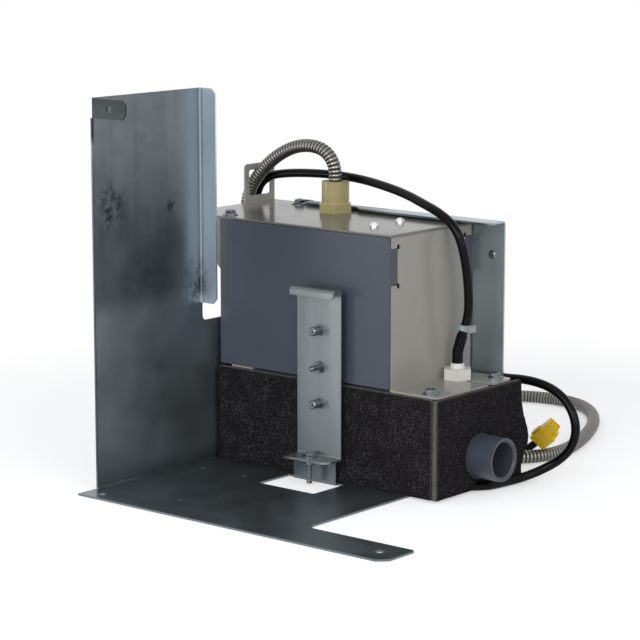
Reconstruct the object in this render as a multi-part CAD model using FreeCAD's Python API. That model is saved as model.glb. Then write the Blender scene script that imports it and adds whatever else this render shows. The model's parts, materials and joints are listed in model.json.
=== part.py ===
import FreeCAD
import Part
import math
import os

V = FreeCAD.Vector
X_AXIS = V(1, 0, 0)
Y_AXIS = V(0, 1, 0)
Z_AXIS = V(0, 0, 1)

# Everything is in millimetres. X runs along the front of the base from its left corner, Y goes
# back from the front edge and Z is up from the floor. place() moves the finished pieces so that
# the middle of the bare object stands at the origin.

# Sheet metal
SHEET = 1.5
BEND = 1.5
TOUCH = 0.3
FIT = 0.1

# Mounting base with its upright
BASE_WIDTH = 293.0
BASE_DEPTH = 265.0
FLOOR_WIDTH = 195.0
LEG_DEPTH = 36.0
NOTCH_RADIUS = 8.0
CORNER_CUT = 7.0
UPRIGHT_HEIGHT = 298.0
UPRIGHT_FRONT = 19.5
UPRIGHT_REAR = 138.5
FLANGE_WIDTH = 17.5
FLANGE_BOTTOM = 129.5
LOW_WALL_HEIGHT = 115.0
TAB_LENGTH = 36.0
TAB_HEIGHT = 15.0
TAB_HOLE_R = 2.7
BOLT_HOLE_R = 3.5
LEFT_HOLE = (15.0, 11.0)
LEG_HOLE = (275.5, 18.0)
PILOT_HOLES = ((71.5, 35.0), (16.0, 121.5), (60.0, 121.5), (179.5, 81.5))
PILOT_HOLE_R = 1.6
CUTOUT_LEFT = 82.0
CUTOUT_WIDTH = 55.0
CUTOUT_FRONT = 112.5
CUTOUT_REAR = 148.5
TONGUE_LEFT = 88.0
TONGUE_WIDTH = 42.0
TONGUE_HEIGHT = 20.5
SHELF_DEPTH = 18.0

# Clamp strap
STRAP_LEFT = 94.1
STRAP_WIDTH = 43.0
STRAP_TOP = 152.6
STRAP_GAP = 1.0
STRAP_FOOT = 17.0
STRAP_LEDGE = 9.0
STRAP_LIP = 6.3
CLAMP_SCREW_IN = 17.8
RIVET_LEVELS = (63.0, 119.5)
RIVET_R = 2.8
RIVET_TAIL_R = 3.5
RIVET_TAIL = 9.0
STRAP_SCREW_LEVEL = 91.0
STRAP_SCREW_R = 2.1
CLAMP_SCREW_R = 2.4
CLAMP_SCREW_BOTTOM = 1.2
FLANGE_HEAD_R = 6.2
HEX_FLATS = 8.0
HEX_HEIGHT = 4.2
LOW_HEX_HEIGHT = 2.6

# Foam wrap and tank
FOAM = 6.0
WALL_GAP = 4.0
FOAM_FRONT = 151.0
TANK_LENGTH = 206.5
TANK_WIDTH = 93.0
TANK_HEIGHT = 68.2
TANK_WALL = 2.0
TANK_RADIUS = 8.0
GASKET = 1.0
END_SHEET_REAR = ((0.0, 4.0), (0.25, 4.2), (0.38, 7.6), (0.5, 6.8), (0.62, 4.6), (0.78, 3.6),
                  (1.0, 3.2))

# Pump housing above the deck
BODY_LEFT = 8.0
BODY_WIDTH = 170.0
BODY_HEIGHT = 116.9
COVER_SHEET = 1.5
LEFT_WALL_IN = 10.0
OVERHANG = 38.0
FOOT_WIDTH = 43.0
FOOT_INSET = 3.0
FOOT_SLOT = 7.0
NOTCH_LOW = 79.0
NOTCH_HIGH = 107.0
NOTCH_DEPTH = 8.0
WING_DROP = 52.0
PLATE_TAB_HEIGHT = 31.7
PLATE_TAB_WIDTH = 36.3
PLATE_TAB_BACK = 6.4
WINDOW_SIDE = 4.8
WINDOW_LOW = 5.6
WINDOW_HIGH = 5.0
BRACKET_OVERSHOOT = 30.0
BRACKET_LEFT = 0.0
BRACKET_FLANGE = 22.5
BRACKET_LIFT = 1.6

# Pipe stub, measured as one inch pipe
STUB_R = 16.7
STUB_BORE_R = 13.4
STUB_Y = 204.3
STUB_Z = 27.4
STUB_COLLAR = 0.5
STUB_REACH = 22.5

# Cables
CONDUIT_R = 5.35
CORD_R = 3.5
LEAD_R = 3.0
ADAPTER_AT = (60.2, 231.3)
ADAPTER_FLATS = 25.0
ADAPTER_R = 11.0
ADAPTER_HEX = 6.5
ADAPTER_TOP = 24.5
GLAND_AT = (189.5, 221.5)
GLAND_FLATS = 20.2
GLAND_HEX = 8.6
GLAND_TOP = 12.5

# Motor and pump
AXIS_X = 104.0
AXIS_Y = 204.0
SHAFT_R = 3.0
BUSH_FIT = 0.03
STACK_LENGTH = 26.0
STACK_SIDE = 70.0
STACK_LIFT = 26.0
ROTOR_R = 17.0
AIR_GAP = 0.4
FAN_R = 30.0
IMPELLER_R = 20.0
VOLUTE_R = 27.0
VOLUTE_LIFT = 8.0
VOLUTE_HEIGHT = 17.0
RISER_X = 54.0
RISER_R = 6.0
RISER_BORE_R = 4.5
VALVE_R = 11.0
OUTLET_REACH = 38.0

# Float and switch
PIVOT_X = 138.0
FLOAT_Y = 178.0
PIVOT_DROP = 13.0
PIVOT_R = 1.5
FLOAT_LENGTH = 44.0
FLOAT_WIDTH = 36.0
FLOAT_HEIGHT = 22.0
ROD_OFFSET = 7.0
ROD_R = 2.0
LEVER_REACH = 20.0
SWITCH_LENGTH = 28.0
SWITCH_WIDTH = 10.0
SWITCH_HEIGHT = 16.0

# Bores, bushes and levels of single pieces
COLUMN_R = 10.0
GLAND_THREAD_R = 7.5
ADAPTER_THREAD_R = 9.0
OUTLET_Z = 146.0
BUSH_R = 5.5
VALVE_HEIGHT = 26.0
LEVER_SHEET = 1.0

# Levels and planes that follow from the sizes above
FOAM_LEFT = SHEET + WALL_GAP
FOAM_BOTTOM = SHEET
TANK_LEFT = FOAM_LEFT + FOAM
TANK_RIGHT = TANK_LEFT + TANK_LENGTH
TANK_FRONT = FOAM_FRONT + FOAM
TANK_REAR = TANK_FRONT + TANK_WIDTH
TANK_BOTTOM = FOAM_BOTTOM + FOAM
TANK_TOP = TANK_BOTTOM + TANK_HEIGHT
FOAM_RIGHT = TANK_RIGHT + FOAM
FOAM_REAR = TANK_REAR + FOAM
DECK_BOTTOM = TANK_TOP + GASKET
DECK_TOP = DECK_BOTTOM + SHEET
FOAM_TOP = DECK_TOP - 0.2
FOOT_TOP = DECK_TOP + SHEET
BODY_RIGHT = BODY_LEFT + BODY_WIDTH
BODY_TOP = FOOT_TOP + BODY_HEIGHT
COVER_FRONT = FOAM_FRONT + SHEET
BODY_FRONT = COVER_FRONT + COVER_SHEET
BODY_REAR = TANK_REAR + FOAM - COVER_SHEET - SHEET + 0.5
BRACKET_PLANE = BODY_REAR + COVER_SHEET
PLATE_LEFT = BODY_LEFT - OVERHANG
LEFT_WALL = BODY_LEFT + LEFT_WALL_IN
TABLE_BOTTOM = BODY_TOP - SHEET
STRAP_REAR = CUTOUT_REAR - SHEET - STRAP_GAP
STRAP_FRONT = STRAP_REAR - SHEET
STRAP_RIGHT = STRAP_LEFT + STRAP_WIDTH
STRAP_MID = STRAP_LEFT + STRAP_WIDTH / 2
TANK_FLOOR = TANK_BOTTOM + TANK_WALL

# Levels inside the housing and the tank
SLEEVE_R = CORD_R + 0.7
STACK_LOW = DECK_TOP + STACK_LIFT
STACK_HIGH = STACK_LOW + STACK_LENGTH
VOLUTE_LOW = TANK_FLOOR + VOLUTE_LIFT
IMPELLER_LOW = VOLUTE_LOW + 4.0
VALVE_LOW = DECK_TOP + 12.0
PIVOT_Z = DECK_BOTTOM - PIVOT_DROP
ARM_TOP = PIVOT_Z + 2.5
ROD_X = PIVOT_X + ROD_OFFSET
ROD_LOW = ARM_TOP + 0.3
LEVER_Z = DECK_TOP + 16.0
LEVER_PIVOT_X = ROD_X + LEVER_REACH
SWITCH_LOW = LEVER_Z + LEVER_SHEET + 4.3
FLOAT_TOP = PIVOT_Z - 22.0
BUTTON_X = LEVER_PIVOT_X - 8.0
BRACKET_TOP = BODY_TOP + BRACKET_LIFT
BRACKET_RIGHT = BODY_RIGHT + BRACKET_OVERSHOOT
MIDDLE = V((PLATE_LEFT + BASE_WIDTH) / 2, BASE_DEPTH / 2, 0)

# Routes of the cables, point by point from where each leaves the object
CONDUIT_ROUTE = [
    (60.2, 231.3, 221.1), (60.2, 231.3, 229.0), (57.4, 231.4, 236.6), (52.0, 231.6, 242.4),
    (44.4, 231.9, 246.0), (35.0, 232.2, 247.4), (24.6, 232.6, 246.8), (13.8, 233.0, 244.2),
    (2.3, 233.4, 239.2), (-9.5, 234.0, 232.0), (-21.0, 234.6, 222.4), (-32.0, 235.0, 210.2),
    (-40.5, 237.5, 190.8), (-46.0, 243.0, 168.0), (-50.0, 254.0, 143.0), (-50.0, 272.0, 115.0),
    (-47.0, 296.0, 86.0), (-42.0, 325.0, 58.0), (-34.0, 358.0, 33.0), (-22.0, 393.0, 14.0),
    (-4.0, 427.0, 5.6), (20.0, 458.0, 5.35), (51.0, 485.0, 5.35), (86.0, 499.0, 5.35),
    (121.0, 494.0, 5.35), (150.0, 470.0, 5.35), (173.0, 437.0, 5.35), (190.5, 401.0, 5.35),
    (204.0, 365.0, 5.35), (211.0, 334.0, 5.35), (206.0, 307.0, 5.35), (191.0, 287.5, 5.7),
    (172.5, 278.6, 6.9), (159.0, 277.0, 7.4), (146.0, 277.0, 7.4),
]
CORD_ROUTE = [
    (189.5, 221.5, 92.2), (189.5, 221.5, 101.0), (192.6, 223.0, 114.0), (196.4, 226.0, 130.0),
    (196.6, 225.0, 150.0), (196.6, 221.5, 169.0), (194.0, 218.5, 187.0), (187.0, 217.5, 199.0),
    (172.0, 219.5, 206.8), (155.0, 224.0, 211.0), (130.0, 232.5, 216.2), (102.0, 239.0, 220.2),
    (73.0, 245.0, 222.8), (44.0, 246.5, 223.8), (16.0, 246.0, 223.0), (-6.0, 245.5, 221.0),
    (-21.0, 245.0, 218.0), (-33.0, 245.3, 209.0), (-39.5, 248.5, 191.0), (-41.5, 256.0, 171.0),
    (-36.0, 266.0, 152.0), (-20.0, 273.5, 138.0), (8.0, 274.0, 125.0), (42.0, 269.0, 112.0),
    (80.0, 266.0, 98.0), (120.0, 265.5, 87.0), (160.0, 266.5, 78.5), (196.0, 267.0, 74.4),
    (225.0, 266.5, 76.6), (249.0, 266.0, 72.6), (264.6, 265.5, 61.0), (271.0, 265.0, 45.0),
    (267.3, 264.5, 29.5), (256.7, 263.5, 18.2), (246.0, 258.0, 10.6), (237.0, 247.5, 5.4),
    (232.0, 234.0, 3.6), (230.0, 220.5, 3.5), (227.8, 207.5, 3.7), (220.5, 197.0, 4.5),
]
LEAD_ROUTE = [
    (127.8, 277.0, 7.4), (114.0, 277.0, 7.4), (102.4, 285.4, 5.4), (98.0, 299.0, 3.4),
    (102.4, 312.6, 3.0), (114.0, 322.0, 3.0), (131.0, 324.5, 3.0), (149.0, 322.5, 3.0),
    (165.0, 318.0, 3.0), (178.5, 313.6, 3.1), (187.2, 312.3, 5.2), (194.6, 312.3, 10.2),
    (202.2, 312.3, 16.5),
]
PLUG_REAR = LEAD_ROUTE[-1]
PLUG_FRONT = (220.0, 312.3, 31.2)
PLUG_WIDTH = 14.6
PLUG_THICK = 9.0
PIN_ACROSS = (-5.0, -1.9, 1.2)
PIN_THROUGH = (-1.8, 1.8)


def box(low, high):
    """A block between two corners."""
    return Part.makeBox(high[0] - low[0], high[1] - low[1], high[2] - low[2], V(*low))


def rod(centre, radius, length, axis=Z_AXIS):
    """A cylinder that starts at a point and runs along an axis."""
    return Part.makeCylinder(radius, length, V(*centre), axis)


def tube(centre, outer, inner, length, axis=Z_AXIS):
    return rod(centre, outer, length, axis).cut(rod(centre, inner, length, axis))


def hexagon(centre, flats, height, turn=0.0):
    """An upright hexagonal prism, measured across its flats."""
    corner = flats / math.sqrt(3)
    angles = [math.radians(60 * i + turn) for i in range(7)]
    points = [V(centre[0] + corner * math.cos(a), centre[1] + corner * math.sin(a),
                centre[2]) for a in angles]
    return Part.Face(Part.makePolygon(points)).extrude(V(0, 0, height))


def plate(outline, thickness):
    """A flat sheet on a closed outline of corner points, as thick as the given vector."""
    points = [V(*p) for p in outline]
    return Part.Face(Part.makePolygon(points + points[:1])).extrude(thickness)


def fuse(shapes):
    """One solid from pieces that overlap or touch."""
    result = shapes[0].fuse(shapes[1:]) if len(shapes) > 1 else shapes[0]
    return result.removeSplitter()


def edges_on(shape, test):
    """The straight edges whose middle point and direction pass a test."""
    found = []
    for edge in shape.Edges:
        if edge.Curve.TypeId != "Part::GeomLine":
            continue
        middle = (edge.Vertexes[0].Point + edge.Vertexes[-1].Point) / 2
        direction = edge.Vertexes[-1].Point - edge.Vertexes[0].Point
        direction.normalize()
        if test(middle, direction):
            found.append(edge)
    return found


def along(direction, axis):
    return abs(direction.dot(axis)) > 0.999


def near(a, b):
    return abs(a - b) < 1e-4


def fold(shape, radius, test):
    """Rounds the edges of a fold."""
    return shape.makeFillet(radius, edges_on(shape, test))


def round_fold(sheet, corner, u, v, length, inner=BEND):
    """Turns the square corner between two flat sheets into a bend, along the length vector."""
    r = inner + SHEET
    corner, u, v, length = V(*corner), V(*u), V(*v), V(*length)
    points = [corner, corner + u * r, corner + u * r + v * r, corner + v * r, corner]
    block = Part.Face(Part.makePolygon(points)).extrude(length)
    ring = tube(corner + u * r + v * r, r, inner, length.Length, length).common(block)
    return sheet.cut(block).fuse(ring)


def upright_edges(shape, radius, places):
    """Rounds the upright edges that stand at the given X, Y places."""
    def stands(middle, direction):
        return along(direction, Z_AXIS) and any(near(middle.x, x) and near(middle.y, y) for x, y in places)
    return shape.makeFillet(radius, edges_on(shape, stands))


def place(shape):
    moved = shape.copy()
    moved.translate(-MIDDLE)
    return moved


# Cables

def route_path(route):
    """Straight runs joined by arcs that touch them, and the radius of each arc."""
    points = [V(*p) for p in route]
    edges = []
    radii = []
    start = points[0]
    for before, corner, after in zip(points, points[1:], points[2:]):
        back = before - corner
        ahead = after - corner
        run = min(back.Length, ahead.Length)
        half_turn = (math.pi - back.getAngle(ahead)) / 2
        reach = 0.45 * run
        radii.append(reach / math.tan(half_turn))
        back.normalize()
        ahead.normalize()
        enter = corner + back * reach
        leave = corner + ahead * reach
        toward = back + ahead
        toward.normalize()
        middle = corner + toward * (radii[-1] / math.cos(half_turn) - radii[-1])
        edges.append(Part.LineSegment(start, enter).toShape())
        edges.append(Part.Arc(enter, middle, leave).toShape())
        start = leave
    edges.append(Part.LineSegment(start, points[-1]).toShape())
    return Part.Wire(edges), radii


def cable(name, route, radius):
    """A round cable along its route."""
    path, radii = route_path(route)
    start = V(*route[0])
    section = Part.Wire(Part.makeCircle(radius, start, V(*route[1]) - start))
    solid = path.makePipeShell([section], True, False)
    expected = math.pi * radius ** 2 * path.Length
    print("%s: length %.0f, tightest arc %.0f, volume ratio %.4f" % (name, path.Length, min(radii),
                                                                     solid.Volume / expected))
    return solid


# Fasteners

def flange_screw(seat, shank, hex_height=HEX_HEIGHT):
    """A hexagon flange screw that stands on a seat, with its shank below."""
    x, y, z = seat
    head = FLANGE_HEAD_R
    washer = Part.makeCone(head, head * 0.72, 1.6, V(x, y, z), Z_AXIS)
    rim = rod((x, y, z), head, 0.6)
    hexagon_head = hexagon((x, y, z + 0.5), HEX_FLATS, hex_height, 15.0)
    crown = Part.makeSphere(HEX_FLATS * 0.95, V(x, y, z + hex_height + 0.7 - HEX_FLATS * 0.95))
    stem = rod((x, y, z - shank), CLAMP_SCREW_R, shank + 0.5)
    return fuse([rim, washer, hexagon_head.common(crown), stem])


def round_screw(seat, shank, head=3.6):
    """A low round head on a shank."""
    x, y, z = seat
    rim = rod((x, y, z), head, head * 0.3)
    dome = Part.makeSphere(head * 1.05, V(x, y, z)).common(rod((x, y, z + head * 0.3), head, head))
    return fuse([rim, dome, rod((x, y, z - shank), 1.6, shank + 0.2)])


# Mounting base

def base_floor():
    """The flat L of the base, with its leg, cut-out and holes."""
    c = CORNER_CUT
    outline = [
        (0, 0, 0), (BASE_WIDTH - c, 0, 0), (BASE_WIDTH, c, 0), (BASE_WIDTH, LEG_DEPTH, 0), (FLOOR_WIDTH,
                                                                                            LEG_DEPTH, 0),
        (FLOOR_WIDTH, BASE_DEPTH, 0), (0, BASE_DEPTH, 0),
    ]
    floor = plate(outline, V(0, 0, SHEET))
    floor = upright_edges(floor, NOTCH_RADIUS, [(FLOOR_WIDTH, LEG_DEPTH)])
    floor = upright_edges(floor, 3.0, [(BASE_WIDTH, LEG_DEPTH), (FLOOR_WIDTH, BASE_DEPTH)])
    window = box((CUTOUT_LEFT, CUTOUT_FRONT, -1), (CUTOUT_LEFT + CUTOUT_WIDTH, CUTOUT_REAR, SHEET + 1))
    places = [(x, y) for x in (CUTOUT_LEFT, CUTOUT_LEFT + CUTOUT_WIDTH) for y in (CUTOUT_FRONT, CUTOUT_REAR)]
    floor = floor.cut(upright_edges(window, 2.0, places))
    for x, y in (LEFT_HOLE, LEG_HOLE):
        floor = floor.cut(rod((x, y, -1), BOLT_HOLE_R, SHEET + 2))
    for x, y in PILOT_HOLES:
        floor = floor.cut(rod((x, y, -1), PILOT_HOLE_R, SHEET + 2))
    return floor


def base_upright():
    """The upright sheet: tall in front, low behind the relief below its rear flange."""
    f, r, h = UPRIGHT_FRONT, UPRIGHT_REAR, UPRIGHT_HEIGHT
    outline = [(0, f, 0), (0, f, h), (0, r, h), (0, r, LOW_WALL_HEIGHT), (0, BASE_DEPTH, LOW_WALL_HEIGHT),
               (0, BASE_DEPTH, 0)]
    wall = plate(outline, V(SHEET, 0, 0))

    def rear_corner(middle, direction):
        return along(direction, X_AXIS) and near(middle.y, BASE_DEPTH) and near(middle.z, LOW_WALL_HEIGHT)

    def relief(middle, direction):
        return along(direction, X_AXIS) and near(middle.y, r) and near(middle.z, LOW_WALL_HEIGHT)
    wall = fold(wall, 5.0, rear_corner)
    return fold(wall, 4.0, relief)


def mounting_base():
    """The folded sheet, in three solids that meet face to face: floor, tall upright and low rear wall."""
    sheet = folded_base()
    fold_top = SHEET + BEND
    wide = TAB_LENGTH + 1
    tall = box((-1, 0, fold_top), (wide, UPRIGHT_REAR, UPRIGHT_HEIGHT + 1))
    low = box((-1, UPRIGHT_REAR, fold_top), (wide, BASE_DEPTH + 1, UPRIGHT_HEIGHT + 1))
    return Part.makeCompound([sheet.cut([tall, low]), sheet.common(tall), sheet.common(low)])


def folded_base():
    """Floor, upright, rear flange, top tab and clamp tongue of one folded sheet."""
    h = UPRIGHT_HEIGHT
    corner = 4.0
    flange = plate([
        (0, UPRIGHT_REAR, FLANGE_BOTTOM), (FLANGE_WIDTH - corner, UPRIGHT_REAR, FLANGE_BOTTOM),
        (FLANGE_WIDTH, UPRIGHT_REAR, FLANGE_BOTTOM + corner), (FLANGE_WIDTH, UPRIGHT_REAR, h - corner),
        (FLANGE_WIDTH - corner, UPRIGHT_REAR, h), (0, UPRIGHT_REAR, h)], V(0, -SHEET, 0))
    tab = plate([
        (0, UPRIGHT_FRONT, h - TAB_HEIGHT), (TAB_LENGTH - corner, UPRIGHT_FRONT, h - TAB_HEIGHT),
        (TAB_LENGTH, UPRIGHT_FRONT, h - TAB_HEIGHT + corner), (TAB_LENGTH, UPRIGHT_FRONT, h - corner),
        (TAB_LENGTH - corner, UPRIGHT_FRONT, h), (0, UPRIGHT_FRONT, h)], V(0, SHEET, 0))
    tab = tab.cut(rod((TAB_LENGTH / 2 + 1, UPRIGHT_FRONT - 1, h - TAB_HEIGHT / 2), TAB_HOLE_R, SHEET + 2,
                      Y_AXIS))
    right = TONGUE_LEFT + TONGUE_WIDTH
    tongue = box((TONGUE_LEFT, CUTOUT_REAR - SHEET, 0), (right, CUTOUT_REAR, TONGUE_HEIGHT))
    root = box((TONGUE_LEFT, CUTOUT_REAR - SHEET, 0), (right, CUTOUT_REAR + 1, SHEET))
    shelf = box((TONGUE_LEFT, CUTOUT_REAR - SHELF_DEPTH, TONGUE_HEIGHT - SHEET),
                (right, CUTOUT_REAR, TONGUE_HEIGHT))
    shelf = upright_edges(shelf, 5.0,
                          [(TONGUE_LEFT, CUTOUT_REAR - SHELF_DEPTH), (right, CUTOUT_REAR - SHELF_DEPTH)])
    sheet = fuse([base_floor(), base_upright(), flange, tab, tongue, root, shelf])
    shank = clamp_seat()
    sheet = sheet.cut(rod((shank[0], shank[1], TONGUE_HEIGHT - SHEET - 1), CLAMP_SCREW_R + FIT, SHEET + 2))

    x, up, back, front = X_AXIS, Z_AXIS, Y_AXIS, -Y_AXIS
    sheet = round_fold(sheet, (0, UPRIGHT_FRONT, 0), x, up, (0, BASE_DEPTH - UPRIGHT_FRONT, 0))
    sheet = round_fold(sheet, (0, UPRIGHT_REAR, FLANGE_BOTTOM), x, front, (0, 0, h - FLANGE_BOTTOM))
    sheet = round_fold(sheet, (0, UPRIGHT_FRONT, h - TAB_HEIGHT), x, back, (0, 0, TAB_HEIGHT))
    tongue_length = (TONGUE_WIDTH, 0, 0)
    sheet = round_fold(sheet, (TONGUE_LEFT, CUTOUT_REAR, TONGUE_HEIGHT), front, -Z_AXIS, tongue_length)
    return sheet.removeSplitter()


# Clamp strap

def clamp_seat():
    """Where the clamp screw's head sits on the strap's foot."""
    return (STRAP_LEFT + CLAMP_SCREW_IN, STRAP_FRONT - STRAP_FOOT / 2 + 1.5, TONGUE_HEIGHT + SHEET)


def clamp_strap():
    """An upright strap with a foot at its bottom and a hooked ledge at its top."""
    low = TONGUE_HEIGHT
    wall = box((STRAP_LEFT, STRAP_FRONT, low), (STRAP_RIGHT, STRAP_REAR, STRAP_TOP))
    foot_front = STRAP_FRONT - STRAP_FOOT
    foot = box((STRAP_LEFT, foot_front, low), (STRAP_RIGHT, STRAP_REAR, low + SHEET))
    foot = upright_edges(foot, 7.0, [(STRAP_LEFT, foot_front), (STRAP_RIGHT, foot_front)])
    ledge = box((STRAP_LEFT, STRAP_FRONT - STRAP_LEDGE, STRAP_TOP - SHEET),
                (STRAP_RIGHT, STRAP_REAR, STRAP_TOP))
    lip_front = STRAP_FRONT - STRAP_LEDGE
    lip_low = STRAP_TOP - STRAP_LIP
    lip = plate([
        (STRAP_LEFT, lip_front, STRAP_TOP), (STRAP_RIGHT, lip_front, STRAP_TOP),
        (STRAP_RIGHT, lip_front, lip_low + 2), (STRAP_RIGHT - 2, lip_front, lip_low),
        (STRAP_LEFT, lip_front, lip_low)], V(0, SHEET, 0))
    strap = fuse([wall, foot, ledge, lip])

    wide = (STRAP_WIDTH, 0, 0)
    strap = round_fold(strap, (STRAP_LEFT, STRAP_REAR, low), -Y_AXIS, Z_AXIS, wide, 1.0)
    strap = round_fold(strap, (STRAP_LEFT, STRAP_REAR, STRAP_TOP), -Y_AXIS, -Z_AXIS, wide, 1.0)
    strap = round_fold(strap, (STRAP_LEFT, lip_front, STRAP_TOP), Y_AXIS, -Z_AXIS, wide, 1.6)
    seat = clamp_seat()
    strap = strap.cut(rod((seat[0], seat[1], low - 1), CLAMP_SCREW_R + FIT, SHEET + 2))
    for level in RIVET_LEVELS + (STRAP_SCREW_LEVEL,):
        strap = strap.cut(rod((STRAP_MID, STRAP_FRONT - 1, level), RIVET_R - 0.6, SHEET + 2, Y_AXIS))
    return strap


def hook_plate():
    """The stiffening plate behind the strap that the rivets and the screw hold."""
    low = RIVET_LEVELS[0] - 12.0
    high = RIVET_LEVELS[1] + 12.0
    body = box((STRAP_LEFT + 4, STRAP_REAR, low), (STRAP_RIGHT - 4, STRAP_REAR + SHEET, high))
    for level in RIVET_LEVELS + (STRAP_SCREW_LEVEL,):
        body = body.cut(rod((STRAP_MID, STRAP_REAR - 1, level), RIVET_R - 0.6, SHEET + 2, Y_AXIS))
    return body


def strap_rivets():
    """Blind rivets with their tails towards the front."""
    rivets = []
    for level in RIVET_LEVELS:
        behind = STRAP_REAR + SHEET
        tail = rod((STRAP_MID, STRAP_FRONT, level), RIVET_TAIL_R, RIVET_TAIL - 0.8, -Y_AXIS)
        crimp = Part.makeCone(RIVET_TAIL_R, RIVET_TAIL_R - 0.9, 0.8,
                              V(STRAP_MID, STRAP_FRONT - RIVET_TAIL + 0.8, level), -Y_AXIS)
        collar = rod((STRAP_MID, STRAP_FRONT, level), RIVET_TAIL_R + 0.8, 1.4, -Y_AXIS)
        stem = rod((STRAP_MID, STRAP_FRONT, level), RIVET_R - 0.6, behind - STRAP_FRONT, Y_AXIS)
        head = Part.makeCone(RIVET_R + 1.8, RIVET_R + 0.6, 1.1, V(STRAP_MID, behind, level), Y_AXIS)
        mandrel = rod((STRAP_MID, STRAP_FRONT - RIVET_TAIL - 1.0, level), 1.1, 2.0, Y_AXIS)
        rivets.append(fuse([tail, crimp, collar, stem, head, mandrel]))
    return Part.makeCompound(rivets)


def strap_screw():
    """A screw that comes from behind, with its point towards the front."""
    level = STRAP_SCREW_LEVEL
    behind = STRAP_REAR + SHEET
    head = rod((STRAP_MID, behind, level), 4.2, 1.2, Y_AXIS)
    length = behind - STRAP_FRONT + 9.0
    stem = rod((STRAP_MID, behind, level), STRAP_SCREW_R, length, -Y_AXIS)
    point = Part.makeCone(STRAP_SCREW_R, 0.6, 3.2, V(STRAP_MID, behind - length, level), -Y_AXIS)
    return fuse([head, stem, point])


def strap_nut():
    """A hexagon nut on its washer, on the strap screw."""
    level = STRAP_SCREW_LEVEL
    washer = rod((STRAP_MID, STRAP_FRONT, level), 5.0, 0.8, -Y_AXIS)
    nut = hexagon((0, 0, 0), 8.0, 3.2, 15.0)
    nut.rotate(V(0, 0, 0), X_AXIS, 90)
    nut.translate(V(STRAP_MID, STRAP_FRONT - 0.8, level))
    return fuse([washer, nut]).cut(rod((STRAP_MID, STRAP_FRONT + 1, level), STRAP_SCREW_R, 8.0, -Y_AXIS))


def clamp_screw():
    seat = clamp_seat()
    return flange_screw(seat, seat[2] - CLAMP_SCREW_BOTTOM, LOW_HEX_HEIGHT)


def clinch_nut():
    """The pressed nut under the tongue's shelf that the clamp screw turns in."""
    x, y, z = clamp_seat()
    top = TONGUE_HEIGHT - SHEET
    return tube((x, y, top - 2.6), 4.4, CLAMP_SCREW_R + FIT, 2.6)


# Foam wrap and tank

def inlet_hole(radius, x0, x1):
    return rod((x0, STUB_Y, STUB_Z), radius, x1 - x0, X_AXIS)


def foam_front():
    return box((FOAM_LEFT, FOAM_FRONT, FOAM_BOTTOM), (TANK_RIGHT, TANK_FRONT, FOAM_TOP))


def foam_right():
    """The end sheet, cut round for the pipe stub, with a rear edge that bulges at half height."""
    x = TANK_RIGHT
    deep = FOAM_TOP - FOAM_BOTTOM
    rear = [V(x, FOAM_REAR + extra, FOAM_BOTTOM + deep * level) for level, extra in END_SHEET_REAR]
    front_edge = Part.makePolygon([rear[-1], V(x, FOAM_FRONT, FOAM_TOP), V(x, FOAM_FRONT, FOAM_BOTTOM),
                                   rear[0]])
    curve = Part.BSplineCurve()
    curve.interpolate(rear)
    rear_edge = curve.toShape()
    sheet = Part.Face(Part.Wire(front_edge.Edges + [rear_edge])).extrude(V(FOAM, 0, 0))
    return sheet.cut(inlet_hole(STUB_R + STUB_COLLAR + TOUCH, TANK_RIGHT - 1, FOAM_RIGHT + 1))


def foam_lining():
    """The three sheets that lie out of sight: left, back and bottom."""
    left = box((FOAM_LEFT, TANK_FRONT, FOAM_BOTTOM), (TANK_LEFT, FOAM_REAR, FOAM_TOP))
    back = box((TANK_LEFT, TANK_REAR, FOAM_BOTTOM), (TANK_RIGHT, FOAM_REAR, FOAM_TOP))
    bottom = box((TANK_LEFT, TANK_FRONT, FOAM_BOTTOM), (TANK_RIGHT, TANK_REAR, TANK_BOTTOM))
    return Part.makeCompound([left, back, bottom])


def tank():
    """An open moulded tank with rounded corners and screw bosses under its rim."""
    places = [(x, y) for x in (TANK_LEFT, TANK_RIGHT) for y in (TANK_FRONT, TANK_REAR)]
    outer = box((TANK_LEFT, TANK_FRONT, TANK_BOTTOM), (TANK_RIGHT, TANK_REAR, TANK_TOP))
    outer = upright_edges(outer, TANK_RADIUS, places)
    w = TANK_WALL
    inner = box((TANK_LEFT + w, TANK_FRONT + w, TANK_FLOOR), (TANK_RIGHT - w, TANK_REAR - w, TANK_TOP + 1))
    inner_places = [(x, y) for x in (TANK_LEFT + w, TANK_RIGHT - w) for y in (TANK_FRONT + w, TANK_REAR - w)]
    inner = upright_edges(inner, TANK_RADIUS - w, inner_places)
    shell = outer.cut(inner)
    for x, y in deck_screw_places():
        boss = rod((x, y, TANK_FLOOR - 0.5), 5.0, TANK_TOP - TANK_FLOOR + 0.5)
        shell = shell.fuse(boss.common(outer))
        shell = shell.cut(rod((x, y, TANK_TOP - 16), CLAMP_SCREW_R + FIT, 17))
    return shell.cut(inlet_hole(STUB_R + STUB_COLLAR + 0.05, TANK_RIGHT - w - 1,
                                TANK_RIGHT + 1)).removeSplitter()


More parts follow.
